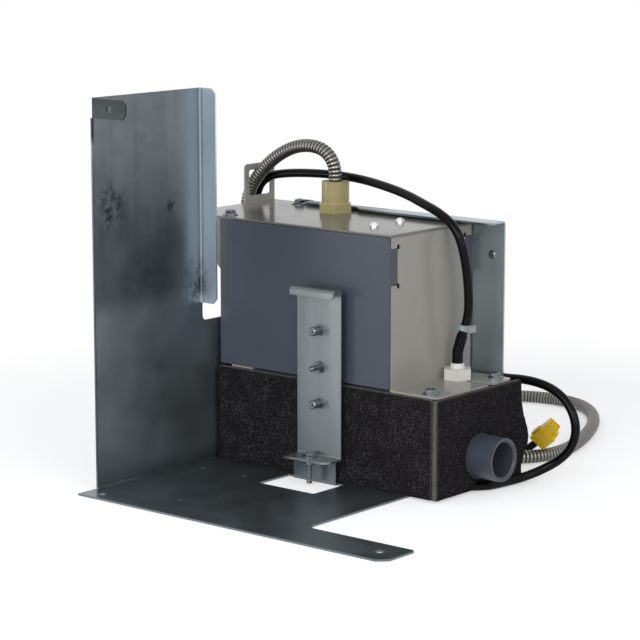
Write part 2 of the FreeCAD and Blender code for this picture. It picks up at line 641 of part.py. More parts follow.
def inlet_stub():
    """The pipe stub with the flange that seals it inside the tank."""
    inner_end = TANK_RIGHT - TANK_WALL - 3.0
    outer_end = FOAM_RIGHT + STUB_REACH
    pipe = rod((inner_end, STUB_Y, STUB_Z), STUB_R, outer_end - inner_end, X_AXIS)
    flange = rod((inner_end, STUB_Y, STUB_Z), STUB_R + 3.0, 3.0, X_AXIS)
    flange = flange.cut(box((inner_end - 1, 0, 0), (outer_end, BASE_DEPTH, TANK_FLOOR + 0.1)))
    collar = rod((inner_end, STUB_Y, STUB_Z), STUB_R + STUB_COLLAR, FOAM_RIGHT - inner_end, X_AXIS)
    bore = rod((inner_end - 1, STUB_Y, STUB_Z), STUB_BORE_R, outer_end - inner_end + 2, X_AXIS)
    mouth = Part.makeCone(STUB_BORE_R, STUB_BORE_R + 1.2, 1.2, V(outer_end - 1.2, STUB_Y, STUB_Z), X_AXIS)
    return fuse([pipe, flange, collar]).cut(bore).cut(mouth)


# Deck between the tank and the motor room

def deck_screw_places():
    """Four corner screws that hold the housing's feet and the deck to the tank."""
    right = TANK_RIGHT - 9.0
    left = LEFT_WALL + 14.0
    return [(right, TANK_FRONT + 5.5), (right, TANK_REAR - 5.5), (left, TANK_FRONT + 5.5),
            (left, TANK_REAR - 5.5)]


def deck_openings():
    """The holes that the gasket and the deck share."""
    holes = [rod((x, y, TANK_TOP - 1), CLAMP_SCREW_R + FIT, 6) for x, y in deck_screw_places()]
    return holes


def deck_gasket():
    """The rim seal between tank and deck, widened round the screw bosses."""
    places = [(x, y) for x in (TANK_LEFT, TANK_RIGHT) for y in (TANK_FRONT, TANK_REAR)]
    outer = box((TANK_LEFT, TANK_FRONT, TANK_TOP), (TANK_RIGHT, TANK_REAR, DECK_BOTTOM))
    outer = upright_edges(outer, TANK_RADIUS, places)
    m = 4.0
    inner = box((TANK_LEFT + m, TANK_FRONT + m, TANK_TOP - 1),
                (TANK_RIGHT - m, TANK_REAR - m, DECK_BOTTOM + 1))
    for x, y in deck_screw_places():
        inner = inner.cut(rod((x, y, TANK_TOP - 2), 5.5, GASKET + 4))
    ring = outer.cut(inner)
    for hole in deck_openings():
        ring = ring.cut(hole)
    return ring


def deck_plate():
    """The lid of the tank, which carries the motor, the pump and the switch."""
    places = [(x, y) for x in (TANK_LEFT, TANK_RIGHT) for y in (TANK_FRONT, TANK_REAR)]
    deck = box((TANK_LEFT, TANK_FRONT, DECK_BOTTOM), (TANK_RIGHT, TANK_REAR, DECK_TOP))
    deck = upright_edges(deck, TANK_RADIUS, places)
    for hole in deck_openings():
        deck = deck.cut(hole)
    low = DECK_BOTTOM - 1
    deep = SHEET + 2
    deck = deck.cut(rod((AXIS_X, AXIS_Y, low), COLUMN_R - 2.0, deep))
    deck = deck.cut(rod((RISER_X, AXIS_Y, low), RISER_R + FIT, deep))
    deck = deck.cut(rod((PIVOT_X + ROD_OFFSET, FLOAT_Y, low), ROD_R + 0.08, deep))
    return deck.cut(rod((GLAND_AT[0], GLAND_AT[1], low), GLAND_THREAD_R + FIT, deep))


# Housing

def side_notch(y, toward):
    """The recess in a side wall that a cover's ear folds into, with its corner reliefs."""
    low = FOOT_TOP + NOTCH_LOW
    high = FOOT_TOP + NOTCH_HIGH
    ends = sorted((y - toward, y + toward * NOTCH_DEPTH))
    cut = box((BODY_RIGHT - 6, ends[0], low), (BODY_RIGHT + 1, ends[1], high))
    reliefs = []
    inner = y + toward * NOTCH_DEPTH
    for z in (low - 2.5, high - 1.0):
        span = sorted((inner - toward * 1.5, inner + toward * 2.5))
        reliefs.append(box((BODY_RIGHT - 6, span[0], z), (BODY_RIGHT + 1, span[1], z + 3.5)))
    return cut.fuse(reliefs)


def chassis():
    """The painted sheet: top plate, right wall with its two feet and the cable window."""
    f, r = BODY_FRONT, BODY_REAR
    tab_rear = r + PLATE_TAB_BACK
    top = box((PLATE_LEFT, f, TABLE_BOTTOM), (BODY_RIGHT, r, BODY_TOP))
    lobe = box((PLATE_LEFT, f, TABLE_BOTTOM), (BRACKET_LEFT - 1.0, tab_rear, BODY_TOP))
    wall = box((BODY_RIGHT - SHEET, f, DECK_TOP), (BODY_RIGHT, r, BODY_TOP))
    for y, toward in ((f, 1), (r, -1)):
        wall = wall.cut(side_notch(y, toward))
    foot_right = BODY_RIGHT + FOOT_WIDTH
    foot_rear = r - FOOT_INSET
    foot = box((BODY_RIGHT - SHEET, f, DECK_TOP), (foot_right, foot_rear, FOOT_TOP))
    foot = upright_edges(foot, 5.0, [(foot_right, f), (foot_right, foot_rear)])
    slot_front = GLAND_AT[1] - FOOT_SLOT / 2
    slot = box((GLAND_AT[0], slot_front, DECK_TOP - 1),
               (foot_right + 1, slot_front + FOOT_SLOT, FOOT_TOP + 1))
    foot = foot.cut(slot).cut(rod((GLAND_AT[0], GLAND_AT[1], DECK_TOP - 1), GLAND_THREAD_R + FIT, SHEET + 2))
    tab_front = tab_rear - PLATE_TAB_WIDTH
    tab_top = BODY_TOP + PLATE_TAB_HEIGHT
    tab = box((PLATE_LEFT, tab_front, TABLE_BOTTOM), (PLATE_LEFT + SHEET, tab_rear, tab_top))

    def tab_corner(middle, direction):
        return along(direction, X_AXIS) and near(middle.z, tab_top)
    tab = fold(tab, 4.0, tab_corner)
    window = box((PLATE_LEFT - 1, tab_front + WINDOW_SIDE, BODY_TOP + WINDOW_LOW),
                 (PLATE_LEFT + 3, tab_rear - WINDOW_SIDE, tab_top - WINDOW_HIGH))

    def window_corner(middle, direction):
        return along(direction, X_AXIS)
    tab = tab.cut(fold(window, 2.0, window_corner))
    sheet = fuse([top, lobe, wall, foot, tab])

    deep = (0, r - f, 0)
    sheet = round_fold(sheet, (BODY_RIGHT, f, BODY_TOP), -X_AXIS, -Z_AXIS, deep, 0.6)
    sheet = round_fold(sheet, (BODY_RIGHT - SHEET, f, DECK_TOP), X_AXIS, Z_AXIS, (0, foot_rear - f, 0), 0.6)
    sheet = round_fold(sheet, (PLATE_LEFT, tab_front, TABLE_BOTTOM), X_AXIS, Z_AXIS,
                       (0, PLATE_TAB_WIDTH, 0), 0.6)
    for x, y in top_screw_places():
        sheet = sheet.cut(rod((x, y, TABLE_BOTTOM - 1), CLAMP_SCREW_R + FIT, SHEET + 2))
    for x, y in motor_screw_places():
        sheet = sheet.cut(rod((x, y, TABLE_BOTTOM - 1), 1.6 + FIT, SHEET + 2))
    for x, y in deck_screw_places()[:2]:
        sheet = sheet.cut(rod((x, y, DECK_TOP - 1), CLAMP_SCREW_R + FIT, SHEET + 2))
    return sheet.cut(rod(ADAPTER_AT + (TABLE_BOTTOM - 1,), ADAPTER_THREAD_R + FIT, SHEET + 2))


def top_screw_places():
    """Screws through the top plate into the left wall's flange."""
    x = LEFT_WALL - 9.0
    return [(x, BODY_FRONT + 9.5), (x, BODY_REAR - 6.0)]


def motor_screw_places():
    """Round head screws through the top plate into the hanger above the motor."""
    x = AXIS_X + 34.0
    return [(x, AXIS_Y - 21.0), (x, AXIS_Y + 11.0)]


def left_wall():
    """The hidden left wall, with the flange and the wing that carry the top plate's overhang."""
    f, r = BODY_FRONT, BODY_REAR
    x = LEFT_WALL
    wall = box((x, f, DECK_TOP), (x + SHEET, r, TABLE_BOTTOM))
    flange = box((PLATE_LEFT + 2, f, TABLE_BOTTOM - SHEET), (x + SHEET, r, TABLE_BOTTOM))
    wing = plate([
        (x, f, TABLE_BOTTOM), (PLATE_LEFT + 2, f, TABLE_BOTTOM), (PLATE_LEFT + 2, f, TABLE_BOTTOM - 5),
        (x, f, TABLE_BOTTOM - WING_DROP)], V(0, SHEET, 0))
    foot = box((x, f, DECK_TOP), (x + 22, r, FOOT_TOP))
    sheet = fuse([wall, flange, wing, foot])
    for px, py in top_screw_places():
        sheet = sheet.cut(rod((px, py, TABLE_BOTTOM - SHEET - 1), CLAMP_SCREW_R + FIT, SHEET + 2))
    for px, py in deck_screw_places()[2:]:
        sheet = sheet.cut(rod((px, py, DECK_TOP - 1), CLAMP_SCREW_R + FIT, SHEET + 2))
    return sheet.cut(rod((x - 1, AXIS_Y, OUTLET_Z), RISER_R + FIT, SHEET + 2, X_AXIS))


def cover(front, toward):
    """A flat cover whose ears fold into the side wall's recess."""
    ends = sorted((front, front + toward * COVER_SHEET))
    low = FOOT_TOP + 0.5
    high = TABLE_BOTTOM - 0.3
    sheet = box((BODY_LEFT, ends[0], low), (BODY_RIGHT - 0.7, ends[1], high))
    ear_low = FOOT_TOP + NOTCH_LOW + 0.4
    ear_high = FOOT_TOP + NOTCH_HIGH - 0.4
    span = sorted((front, front + toward * (COVER_SHEET + NOTCH_DEPTH - 0.8)))
    ear = box((BODY_RIGHT - 2.2, span[0], ear_low), (BODY_RIGHT - 0.7, span[1], ear_high))
    return fuse([sheet, ear])


def front_cover():
    return cover(COVER_FRONT, 1)


def rear_cover():
    return cover(BODY_REAR + COVER_SHEET, -1)


def back_bracket():
    """The wide plate behind the housing, with a flange over the top plate."""
    y = BRACKET_PLANE
    wall = box((BRACKET_LEFT, y, DECK_TOP + 0.3), (BRACKET_RIGHT, y + SHEET, BRACKET_TOP + SHEET))
    rear = y + SHEET
    step = ADAPTER_AT[0] + 10.0
    shallow = rear - 10.5
    flange = plate([
        (BRACKET_LEFT + 16.5, rear, BRACKET_TOP), (BRACKET_LEFT + 16.5, shallow, BRACKET_TOP),
        (step, shallow, BRACKET_TOP), (step + 7.0, shallow - 6.5, BRACKET_TOP),
        (BRACKET_RIGHT - 1.0, rear - BRACKET_FLANGE, BRACKET_TOP), (BRACKET_RIGHT,
                                                                    rear - BRACKET_FLANGE + 1, BRACKET_TOP),
        (BRACKET_RIGHT, rear, BRACKET_TOP)], V(0, 0, SHEET))
    sheet = fuse([wall, flange])
    sheet = sheet.cut(box((BRACKET_LEFT - 1, y - 1, 0),
                          (BRACKET_LEFT + SHEET + 0.6, rear + 1, LOW_WALL_HEIGHT + 2)))

    start = BRACKET_LEFT + 16.5
    wide = (BRACKET_RIGHT - start, 0, 0)
    sheet = round_fold(sheet, (start, rear, BRACKET_TOP + SHEET), -Y_AXIS, -Z_AXIS, wide)
    for x, z in back_rivet_places():
        sheet = sheet.cut(rod((x, y - 1, z), 1.6 + FIT, SHEET + 2, Y_AXIS))
    return sheet


def back_rivet_places():
    low = FOOT_TOP + 25.0
    high = FOOT_TOP + 93.0
    return [(BRACKET_RIGHT - 11.5, high), (BODY_LEFT + 24.0, low), (BODY_LEFT + 24.0, high),
            (BODY_RIGHT - 24.0, low)]


def back_rivets():
    """Low head rivets that hold the back bracket to the rear cover."""
    rivets = []
    y = BRACKET_PLANE
    for x, z in back_rivet_places():
        front = -1.0 if x > BODY_RIGHT else 0.0
        stem = rod((x, y + front, z), 1.6, SHEET - front, Y_AXIS)
        head = Part.makeCone(3.4, 2.4, 1.1, V(x, y + SHEET, z), Y_AXIS)
        parts = [stem, head]
        if front:
            parts.append(Part.makeCone(3.4, 2.4, 1.1, V(x, y, z), -Y_AXIS))
        rivets.append(fuse(parts))
    return Part.makeCompound(rivets)


def flange_screws():
    """The screws of the top plate and the longer ones through the feet into the tank."""
    top = [flange_screw((x, y, BODY_TOP), 9.0) for x, y in top_screw_places()]
    feet = [flange_screw((x, y, FOOT_TOP), FOOT_TOP - TANK_TOP + 12) for x, y in deck_screw_places()]
    return Part.makeCompound(top + feet)


def motor_hanger_screws():
    return Part.makeCompound([round_screw((x, y, BODY_TOP), 7.0) for x, y in motor_screw_places()])


# Cable fittings

def conduit_adapter():
    """Nylon adapter: hexagon on the top plate, plain barrel above, thread below."""
    at = ADAPTER_AT
    flats = hexagon(at + (BODY_TOP,), ADAPTER_FLATS, ADAPTER_HEX, 9.0)
    barrel = rod(at + (BODY_TOP + ADAPTER_HEX - 0.5,), ADAPTER_R, ADAPTER_TOP - ADAPTER_HEX + 0.5)
    neck = Part.makeCone(ADAPTER_R + 1.2, ADAPTER_R, 2.0, V(at[0], at[1], BODY_TOP + ADAPTER_HEX - 0.3),
                         Z_AXIS)
    thread = rod(at + (TABLE_BOTTOM - 9,), ADAPTER_THREAD_R, 9 + SHEET + 1)
    bore = rod(at + (TABLE_BOTTOM - 10,), CONDUIT_R - 1.2, 9 + SHEET + ADAPTER_TOP + 2)
    return fuse([flats, barrel, neck, thread]).cut(bore)


def gland_body():
    """White cord gland: hexagon on the foot, domed cap above, thread below the deck."""
    x, y = GLAND_AT
    flats = hexagon((x, y, FOOT_TOP), GLAND_FLATS, GLAND_HEX, 8.0)
    cap = Part.makeCone(GLAND_FLATS * 0.3, CORD_R + 1.5, GLAND_TOP - GLAND_HEX + 0.2,
                        V(x, y, FOOT_TOP + GLAND_HEX - 0.2), Z_AXIS)
    thread = rod((x, y, DECK_BOTTOM - 8), GLAND_THREAD_R, 8 + SHEET * 2 + 0.5)
    bore = rod((x, y, DECK_BOTTOM - 9), CORD_R - 0.4, 9 + SHEET * 2 + GLAND_TOP + 1)
    return fuse([flats, cap, thread]).cut(bore)


def locknuts():
    """The hexagon nuts under the top plate and under the deck."""
    upper = ADAPTER_AT + (TABLE_BOTTOM - 5.0,)
    lower = GLAND_AT + (DECK_BOTTOM - 5.0,)
    return Part.makeCompound([
        hexagon(upper, ADAPTER_FLATS, 5.0, 20.0).cut(rod(upper, ADAPTER_THREAD_R, 6.0)),
        hexagon(lower, GLAND_FLATS, 5.0, 8.0).cut(rod(lower, GLAND_THREAD_R, 6.0))])


def cord_sleeve():
    """A soft sleeve round the cord's first stretch above the gland."""
    parts = []
    for first, last in ((0, 1), (1, 2)):
        a = V(*CORD_ROUTE[first])
        b = V(*CORD_ROUTE[last])
        parts.append((a, b - a))
    outer = [Part.makeCylinder(SLEEVE_R, axis.Length, a, axis) for a, axis in parts]
    outer.append(Part.makeSphere(SLEEVE_R, V(*CORD_ROUTE[1])))
    sleeve = fuse(outer).cut(box((-10, 0, 0), (400, 400, CORD_ROUTE[0][2])))
    return sleeve.cut(cable_core())


def cable_core():
    """The cord's own first stretches, taken out of what stands round it."""
    path, _ = route_path(CORD_ROUTE[:6])
    start = V(*CORD_ROUTE[0])
    section = Part.Wire(Part.makeCircle(CORD_R, start, V(*CORD_ROUTE[1]) - start))
    return path.makePipeShell([section], True, False)


def cable_tie():
    """A nylon tie round the sleeve's top end, with its square head on the right."""
    a = V(*CORD_ROUTE[2])
    b = V(*CORD_ROUTE[3])
    axis = b - a
    axis.normalize()
    at = a + axis * 3.5
    band = Part.makeCylinder(CORD_R + 1.4, 4.0, at, axis)
    head = box((at.x + CORD_R, at.y - 3.0, at.z - 0.5), (at.x + CORD_R + 6.0, at.y + 3.0, at.z + 4.5))
    tail = box((at.x + CORD_R + 2.2, at.y - 5.5, at.z + 0.8), (at.x + CORD_R + 3.4, at.y - 2.9, at.z + 3.2))
    return fuse([band, head, tail]).cut(cable_core())


def conduit():
    return cable("conduit", CONDUIT_ROUTE, CONDUIT_R)


def black_cord():
    """The cord, whose last stretch runs into the foam wrap and is drawn up to its face."""
    return cable("black_cord", CORD_ROUTE,
                 CORD_R).cut(box((0, FOAM_FRONT, 0), (FOAM_RIGHT, FOAM_REAR, FOAM_TOP / 2)))


def plug_lead():
    return cable("plug_lead", LEAD_ROUTE, LEAD_R)


def conduit_bushing():
    """The end fitting of the conduit, where the plug's lead comes out."""
    a = V(*CONDUIT_ROUTE[-1])
    b = V(*LEAD_ROUTE[0])
    axis = b - a
    axis.normalize()
    barrel = Part.makeCylinder(CONDUIT_R + 1.7, 11.0, a, axis)
    cap = Part.makeCone(CONDUIT_R + 1.7, LEAD_R + 0.8, (b - a).Length - 11.0, a + axis * 11.0, axis)
    return fuse([barrel, cap])


def plug_frame():
    """The plug's lengthwise, width and thickness directions."""
    length = V(*PLUG_FRONT) - V(*PLUG_REAR)
    length.normalize()
    thick = V(0.64, -0.77, 0)
    width = length.cross(thick)
    width.normalize()
    thick = width.cross(length)
    return length, width, thick


def plug_block(start, size):
    """A block in the plug's own directions: along it, across it and through it."""
    length, width, thick = plug_frame()
    corner = V(*PLUG_REAR) + length * start[0] + width * start[1] + thick * start[2]
    a = corner
    b = corner + length * size[0]
    c = b + width * size[1]
    d = corner + width * size[1]
    return Part.Face(Part.makePolygon([a, b, c, d, a])).extrude(thick * size[2])


def plug_shell():
    """The yellow connector: a body with a stepped nose, side ribs and open contact wells."""
    reach = (V(*PLUG_FRONT) - V(*PLUG_REAR)).Length
    half = PLUG_WIDTH / 2
    deep = PLUG_THICK / 2
    body = plug_block((0, -half, -deep), (reach * 0.62, PLUG_WIDTH, PLUG_THICK))
    nose = plug_block((reach * 0.55, -half, -deep + 0.8), (reach * 0.45, 10.4, PLUG_THICK - 1.6))
    latch = plug_block((reach * 0.3, half - 3.4, -2.2), (reach * 0.5, 2.4, 4.4))
    rib = plug_block((reach * 0.12, -half - 1.4, -2.2), (reach * 0.36, 1.6, 4.4))
    shell = fuse([body, nose, latch, rib])
    for across in PIN_ACROSS:
        for through in PIN_THROUGH:
            shell = shell.cut(plug_block((reach - 6, across - 1.2, through - 1.1), (8, 2.4, 2.2)))
    return shell


def plug_pins():
    """The six contacts inside the plug's wells."""
    reach = (V(*PLUG_FRONT) - V(*PLUG_REAR)).Length
    pins = []
    for across in PIN_ACROSS:
        for through in PIN_THROUGH:
            pins.append(plug_block((reach - 6, across - 0.6, through - 0.6), (4.5, 1.2, 1.2)))
    return Part.makeCompound(pins)


# Motor


def stator():
    """The square lamination stack with a round bore and corner notches."""
    half = STACK_SIDE / 2
    block = box((AXIS_X - half, AXIS_Y - half, STACK_LOW), (AXIS_X + half, AXIS_Y + half, STACK_HIGH))
    places = [(AXIS_X + sx * half, AXIS_Y + sy * half) for sx in (-1, 1) for sy in (-1, 1)]
    block = upright_edges(block, 6.0, places)
    block = block.cut(rod((AXIS_X, AXIS_Y, STACK_LOW - 1), ROTOR_R + AIR_GAP, STACK_LENGTH + 2))
    for angle in range(45, 405, 90):
        x = AXIS_X + (ROTOR_R + 9.0) * math.cos(math.radians(angle))
        y = AXIS_Y + (ROTOR_R + 9.0) * math.sin(math.radians(angle))
        block = block.cut(rod((x, y, STACK_LOW - 1), 6.2, STACK_LENGTH + 2))
    for x, y in tie_bolt_places():
        block = block.cut(rod((x, y, STACK_LOW - 1), 2.0 + FIT, STACK_LENGTH + 2))
    return block


def tie_bolt_places():
    reach = STACK_SIDE / 2 - 7.0
    return [(AXIS_X + sx * reach, AXIS_Y + sy * reach) for sx in (-1, 1) for sy in (-1, 1)]


def windings():
    """Coil heads above and below the stack."""
    rings = []
    for low in (STACK_LOW - 7.0, STACK_HIGH):
        ring = tube((AXIS_X, AXIS_Y, low), ROTOR_R + 13.0, ROTOR_R + 3.0, 7.0)
        outer = [e for e in ring.Edges if e.Curve.TypeId == "Part::GeomCircle" and e.Curve.Radius > ROTOR_R + 10]
        rings.append(ring.makeFillet(2.4, outer))
    return Part.makeCompound(rings)


def end_bracket(level, toward):
    """A bearing bracket: a bridge with a hub, and legs that stand on the stack."""
    half = STACK_SIDE / 2
    bridge_low = level + (9.0 if toward > 0 else -12.0)
    bridge = box((AXIS_X - half, AXIS_Y - 12, bridge_low), (AXIS_X + half, AXIS_Y + 12, bridge_low + 3.0))
    cross = box((AXIS_X - 12, AXIS_Y - half, bridge_low), (AXIS_X + 12, AXIS_Y + half, bridge_low + 3.0))
    ring = tube((AXIS_X, AXIS_Y, bridge_low), half * 1.18, half * 0.78, 3.0)
    ring = ring.common(box((AXIS_X - half, AXIS_Y - half, bridge_low),
                           (AXIS_X + half, AXIS_Y + half, bridge_low + 3.0)))
    hub = rod((AXIS_X, AXIS_Y, bridge_low - 2.5), 9.0, 8.0)
    legs = []
    for x, y in tie_bolt_places():
        low = level if toward > 0 else bridge_low
        high = bridge_low + 3.0 if toward > 0 else level
        legs.append(rod((x, y, low), 5.5, high - low))
    bracket = fuse([bridge, cross, ring, hub] + legs)
    bracket = bracket.cut(rod((AXIS_X, AXIS_Y, bridge_low - 4), BUSH_R, 12.0))
    for x, y in tie_bolt_places():
        bracket = bracket.cut(rod((x, y, level - 20), 2.0 + FIT, 40))
    return bracket


def bearing_brackets():
    """The same bracket above and below the stack."""
    return Part.makeCompound([end_bracket(STACK_HIGH, 1), end_bracket(STACK_LOW, -1)])


def bushes():
    """Two sintered bushes that carry the shaft."""
    levels = (STACK_HIGH + 6.5, STACK_LOW - 14.5)
    return Part.makeCompound([tube((AXIS_X, AXIS_Y, z), BUSH_R, SHAFT_R + BUSH_FIT, 8.0) for z in levels])


def tie_bolts():
    """Four long bolts from the top bracket down to the deck posts."""
    bolts = []
    top = STACK_HIGH + 12.0
    for x, y in tie_bolt_places():
        bolts.append(fuse([rod((x, y, DECK_TOP), 2.0, top - DECK_TOP), hexagon((x, y, top), 7.0, 2.8)]))
    return Part.makeCompound(bolts)


def motor_posts():
    """Spacer tubes between the deck and the motor's lower bracket."""
    posts = [tube((x, y, DECK_TOP), 5.0, 2.0 + FIT, STACK_LIFT - 12.0) for x, y in tie_bolt_places()]
    return Part.makeCompound(posts)


def motor_hanger():
    """A strap under the top plate that steadies the motor's top bracket."""
    x0 = AXIS_X + STACK_SIDE / 2 - 8.0
    x1 = x0 + 18.0
    low = STACK_HIGH + 12.0
    y0, y1 = AXIS_Y - STACK_SIDE / 2 + 2.0, AXIS_Y + STACK_SIDE / 2 - 2.0
    rail = box((x0, y0, TABLE_BOTTOM - SHEET), (x1, y1, TABLE_BOTTOM))
    wall = box((x1 - SHEET, y0, low), (x1, y1, TABLE_BOTTOM))
    foot = box((x0 + 4.0, y0, low), (x1, y0 + 4.0, low + SHEET))
    foot_two = box((x0 + 4.0, y1 - 4.0, low), (x1, y1, low + SHEET))
    sheet = fuse([rail, wall, foot, foot_two])
    for x, y in motor_screw_places():
        sheet = sheet.cut(rod((x, y, TABLE_BOTTOM - SHEET - 1), 1.6 + FIT, SHEET + 2))
    for x, y in tie_bolt_places():
        sheet = sheet.cut(rod((x, y, low - 1), 4.6, 6))
    return sheet


def rotor():
    core = tube((AXIS_X, AXIS_Y, STACK_LOW), ROTOR_R, SHAFT_R, STACK_LENGTH)
    return core


def motor_shaft():
    """One shaft through the motor, the deck and the pump."""
    low = IMPELLER_LOW - 1.0
    high = STACK_HIGH + 34.0
    return rod((AXIS_X, AXIS_Y, low), SHAFT_R, high - low)


def cooling_fan():
    """A fan with a hub, a ring and pitched blades."""
    low = STACK_HIGH + 21.0
    hub = tube((AXIS_X, AXIS_Y, low), 8.0, SHAFT_R, 10.0)
    blades = []
    for i in range(7):
        root = V(AXIS_X + 7.0, AXIS_Y, low + 5.0)
        blade = Part.makeBox(FAN_R - 8.0, 11.0, 1.0, V(AXIS_X + 7.0, AXIS_Y - 5.5, low + 4.5))
        blade.rotate(root, X_AXIS, 32)
        blade.rotate(V(AXIS_X, AXIS_Y, 0), Z_AXIS, i * 360.0 / 7)
        blades.append(blade)
    limit = tube((AXIS_X, AXIS_Y, low), FAN_R, SHAFT_R, 10.0)
    return fuse([hub] + blades).common(limit)


# Pump


def curved_vane(inner, outer, sweep, thickness, low, height):
    """A backward curved vane between two radii."""
    def ring(radius, turn, offset):
        a = math.radians(turn)
        r = radius + offset
        return V(AXIS_X + r * math.cos(a), AXIS_Y + r * math.sin(a), low)
    mid = (inner + outer) / 2
    near_arc = Part.Arc(ring(inner, 0, 0), ring(mid, sweep * 0.36, 0), ring(outer, sweep, 0)).toShape()
    width = math.degrees(thickness / mid)
    far_arc = Part.Arc(ring(outer, sweep + width, 0), ring(mid, sweep * 0.36 + width, 0),
                       ring(inner, width, 0)).toShape()
    close_one = Part.LineSegment(ring(outer, sweep, 0), ring(outer, sweep + width, 0)).toShape()
    close_two = Part.LineSegment(ring(inner, width, 0), ring(inner, 0, 0)).toShape()
    return Part.Face(Part.Wire([near_arc, close_one, far_arc, close_two])).extrude(V(0, 0, height))


def impeller():
    """A back plate with six backward curved vanes on a hub."""
    disc = rod((AXIS_X, AXIS_Y, IMPELLER_LOW + 6.0), IMPELLER_R, 1.5)
    hub = rod((AXIS_X, AXIS_Y, IMPELLER_LOW - 0.5), 6.0, 8.0)
    vane = curved_vane(5.0, IMPELLER_R, 48.0, 1.6, IMPELLER_LOW, 6.2)
    vanes = []
    for i in range(6):
        turned = vane.copy()
        turned.rotate(V(AXIS_X, AXIS_Y, 0), Z_AXIS, 60 * i)
        vanes.append(turned)
    wheel = fuse([disc, hub] + vanes)
    return wheel.cut(rod((AXIS_X, AXIS_Y, IMPELLER_LOW - 2), SHAFT_R, 14))


def volute_outline(grow, low, height):
    """A snail shell outline of quarter arcs whose radius grows round the wheel."""
    r = VOLUTE_R + grow
    drum = rod((AXIS_X, AXIS_Y, low), r - 3.0, height)
    swell = rod((AXIS_X - 2.0, AXIS_Y + 1.0, low), r - 1.5, height)
    throat = box((RISER_X, AXIS_Y + 6.0 - grow, low), (AXIS_X, AXIS_Y + r - 0.6, low + height))
    return drum.fuse([swell, throat])


def pump_housing():
    """The volute below the deck, with its column round the shaft and its outlet socket."""
    low, high = VOLUTE_LOW, VOLUTE_LOW + VOLUTE_HEIGHT
    shell = volute_outline(2.0, low, VOLUTE_HEIGHT)
    socket = rod((RISER_X, AXIS_Y, low), RISER_R + 3.0, VOLUTE_HEIGHT + 8.0)
    bridge = box((RISER_X - 4.0, AXIS_Y - 6.0, low), (RISER_X + 10.0, AXIS_Y + 22.0, high))
    column = rod((AXIS_X, AXIS_Y, high - 1), COLUMN_R, DECK_BOTTOM - high + 1)
    top_flange = rod((AXIS_X, AXIS_Y, DECK_BOTTOM - 3.0), COLUMN_R + 7.0, 3.0)
    body = fuse([shell, socket, bridge, column, top_flange])
    chamber = rod((AXIS_X, AXIS_Y, low - 1), IMPELLER_R + 1.5, 1 + 13.0)
    channel = box((RISER_X, AXIS_Y + 8.0, low + 4.0), (AXIS_X, AXIS_Y + IMPELLER_R + 1.0, low + 12.0))
    cross = box((RISER_X - 3.0, AXIS_Y - 3.0, low + 4.0), (RISER_X + 3.0, AXIS_Y + 20.0, low + 12.0))
    bore = rod((RISER_X, AXIS_Y, low + 4.0), RISER_BORE_R, VOLUTE_HEIGHT)
    seat = rod((RISER_X, AXIS_Y, high - 2), RISER_R + FIT, 12.0)
    column_bore = rod((AXIS_X, AXIS_Y, low + 10), COLUMN_R - 3.5, DECK_BOTTOM - low)
    weep = box((AXIS_X - 3, AXIS_Y - COLUMN_R - 1, high + 6), (AXIS_X + 3, AXIS_Y + COLUMN_R + 1, high + 16))
    for tool in (chamber, channel, cross, bore, seat, column_bore, weep):
        body = body.cut(tool)
    return body.removeSplitter()


def strainer():
    """The slotted inlet cover under the volute, on short legs on the tank's floor."""
    high = VOLUTE_LOW
    disc = rod((AXIS_X, AXIS_Y, high - 2.0), VOLUTE_R - 1.0, 2.0)
    disc = disc.cut(rod((AXIS_X, AXIS_Y, high - 3), 4.0, 4))
    slot = box((AXIS_X + 7.0, AXIS_Y - 1.0, high - 3), (AXIS_X + IMPELLER_R - 4.0, AXIS_Y + 1.0, high + 1))
    for i in range(12):
        turned = slot.copy()
        turned.rotate(V(AXIS_X, AXIS_Y, 0), Z_AXIS, 30 * i)
        disc = disc.cut(turned)
    legs = []
    for i in range(3):
        a = math.radians(90 + 120 * i)
        reach = VOLUTE_R - 4.0
        legs.append(rod((AXIS_X + reach * math.cos(a), AXIS_Y + reach * math.sin(a), TANK_FLOOR), 2.5,
                        high - TANK_FLOOR - 1.5))
    return fuse([disc] + legs)


def discharge_riser():
    """The pipe from the volute up through the deck to the check valve."""
    low = VOLUTE_LOW + VOLUTE_HEIGHT - 2
    return tube((RISER_X, AXIS_Y, low), RISER_R, RISER_BORE_R, VALVE_LOW + 5.0 - low)


def check_valve():
    """The valve body above the deck: a seat below, a chamber and an outlet neck above."""
    low = VALVE_LOW
    x, y = RISER_X, AXIS_Y
    body = rod((x, y, low), VALVE_R, VALVE_HEIGHT)
    flats = hexagon((x, y, low + 8.0), VALVE_R * 2 + 1.0, 8.0)
    neck = rod((x, y, low + VALVE_HEIGHT - 1), RISER_R + 3.0, 9.0)
    body = fuse([body, flats, neck])
    body = body.cut(rod((x, y, low - 1), RISER_R + FIT, 6.0))
    body = body.cut(rod((x, y, low + 3), RISER_BORE_R - 0.8, VALVE_HEIGHT))
    body = body.cut(rod((x, y, low + 8.0), VALVE_R - 3.0, VALVE_HEIGHT - 12.0))
    body = body.cut(rod((x, y, low + VALVE_HEIGHT - 5), RISER_BORE_R, 12.0))
    return body.cut(rod((x, y, low + VALVE_HEIGHT + 3), RISER_R + FIT, 10.0))


def valve_poppet():
    """The loose disc that lifts when the pump runs, with its guide ribs."""
    low = VALVE_LOW + 8.0
    x, y = RISER_X, AXIS_Y
    disc = rod((x, y, low), VALVE_R - 3.6, 2.2)
    stem = rod((x, y, low + 2.0), 1.6, 4.0)
    ribs = [box((x - 2.6, y - 0.5, low - 4.0), (x + 2.6, y + 0.5, low + 0.2)),
            box((x - 0.5, y - 2.6, low - 4.0), (x + 0.5, y + 2.6, low + 0.2))]
    return fuse([disc, stem] + ribs)


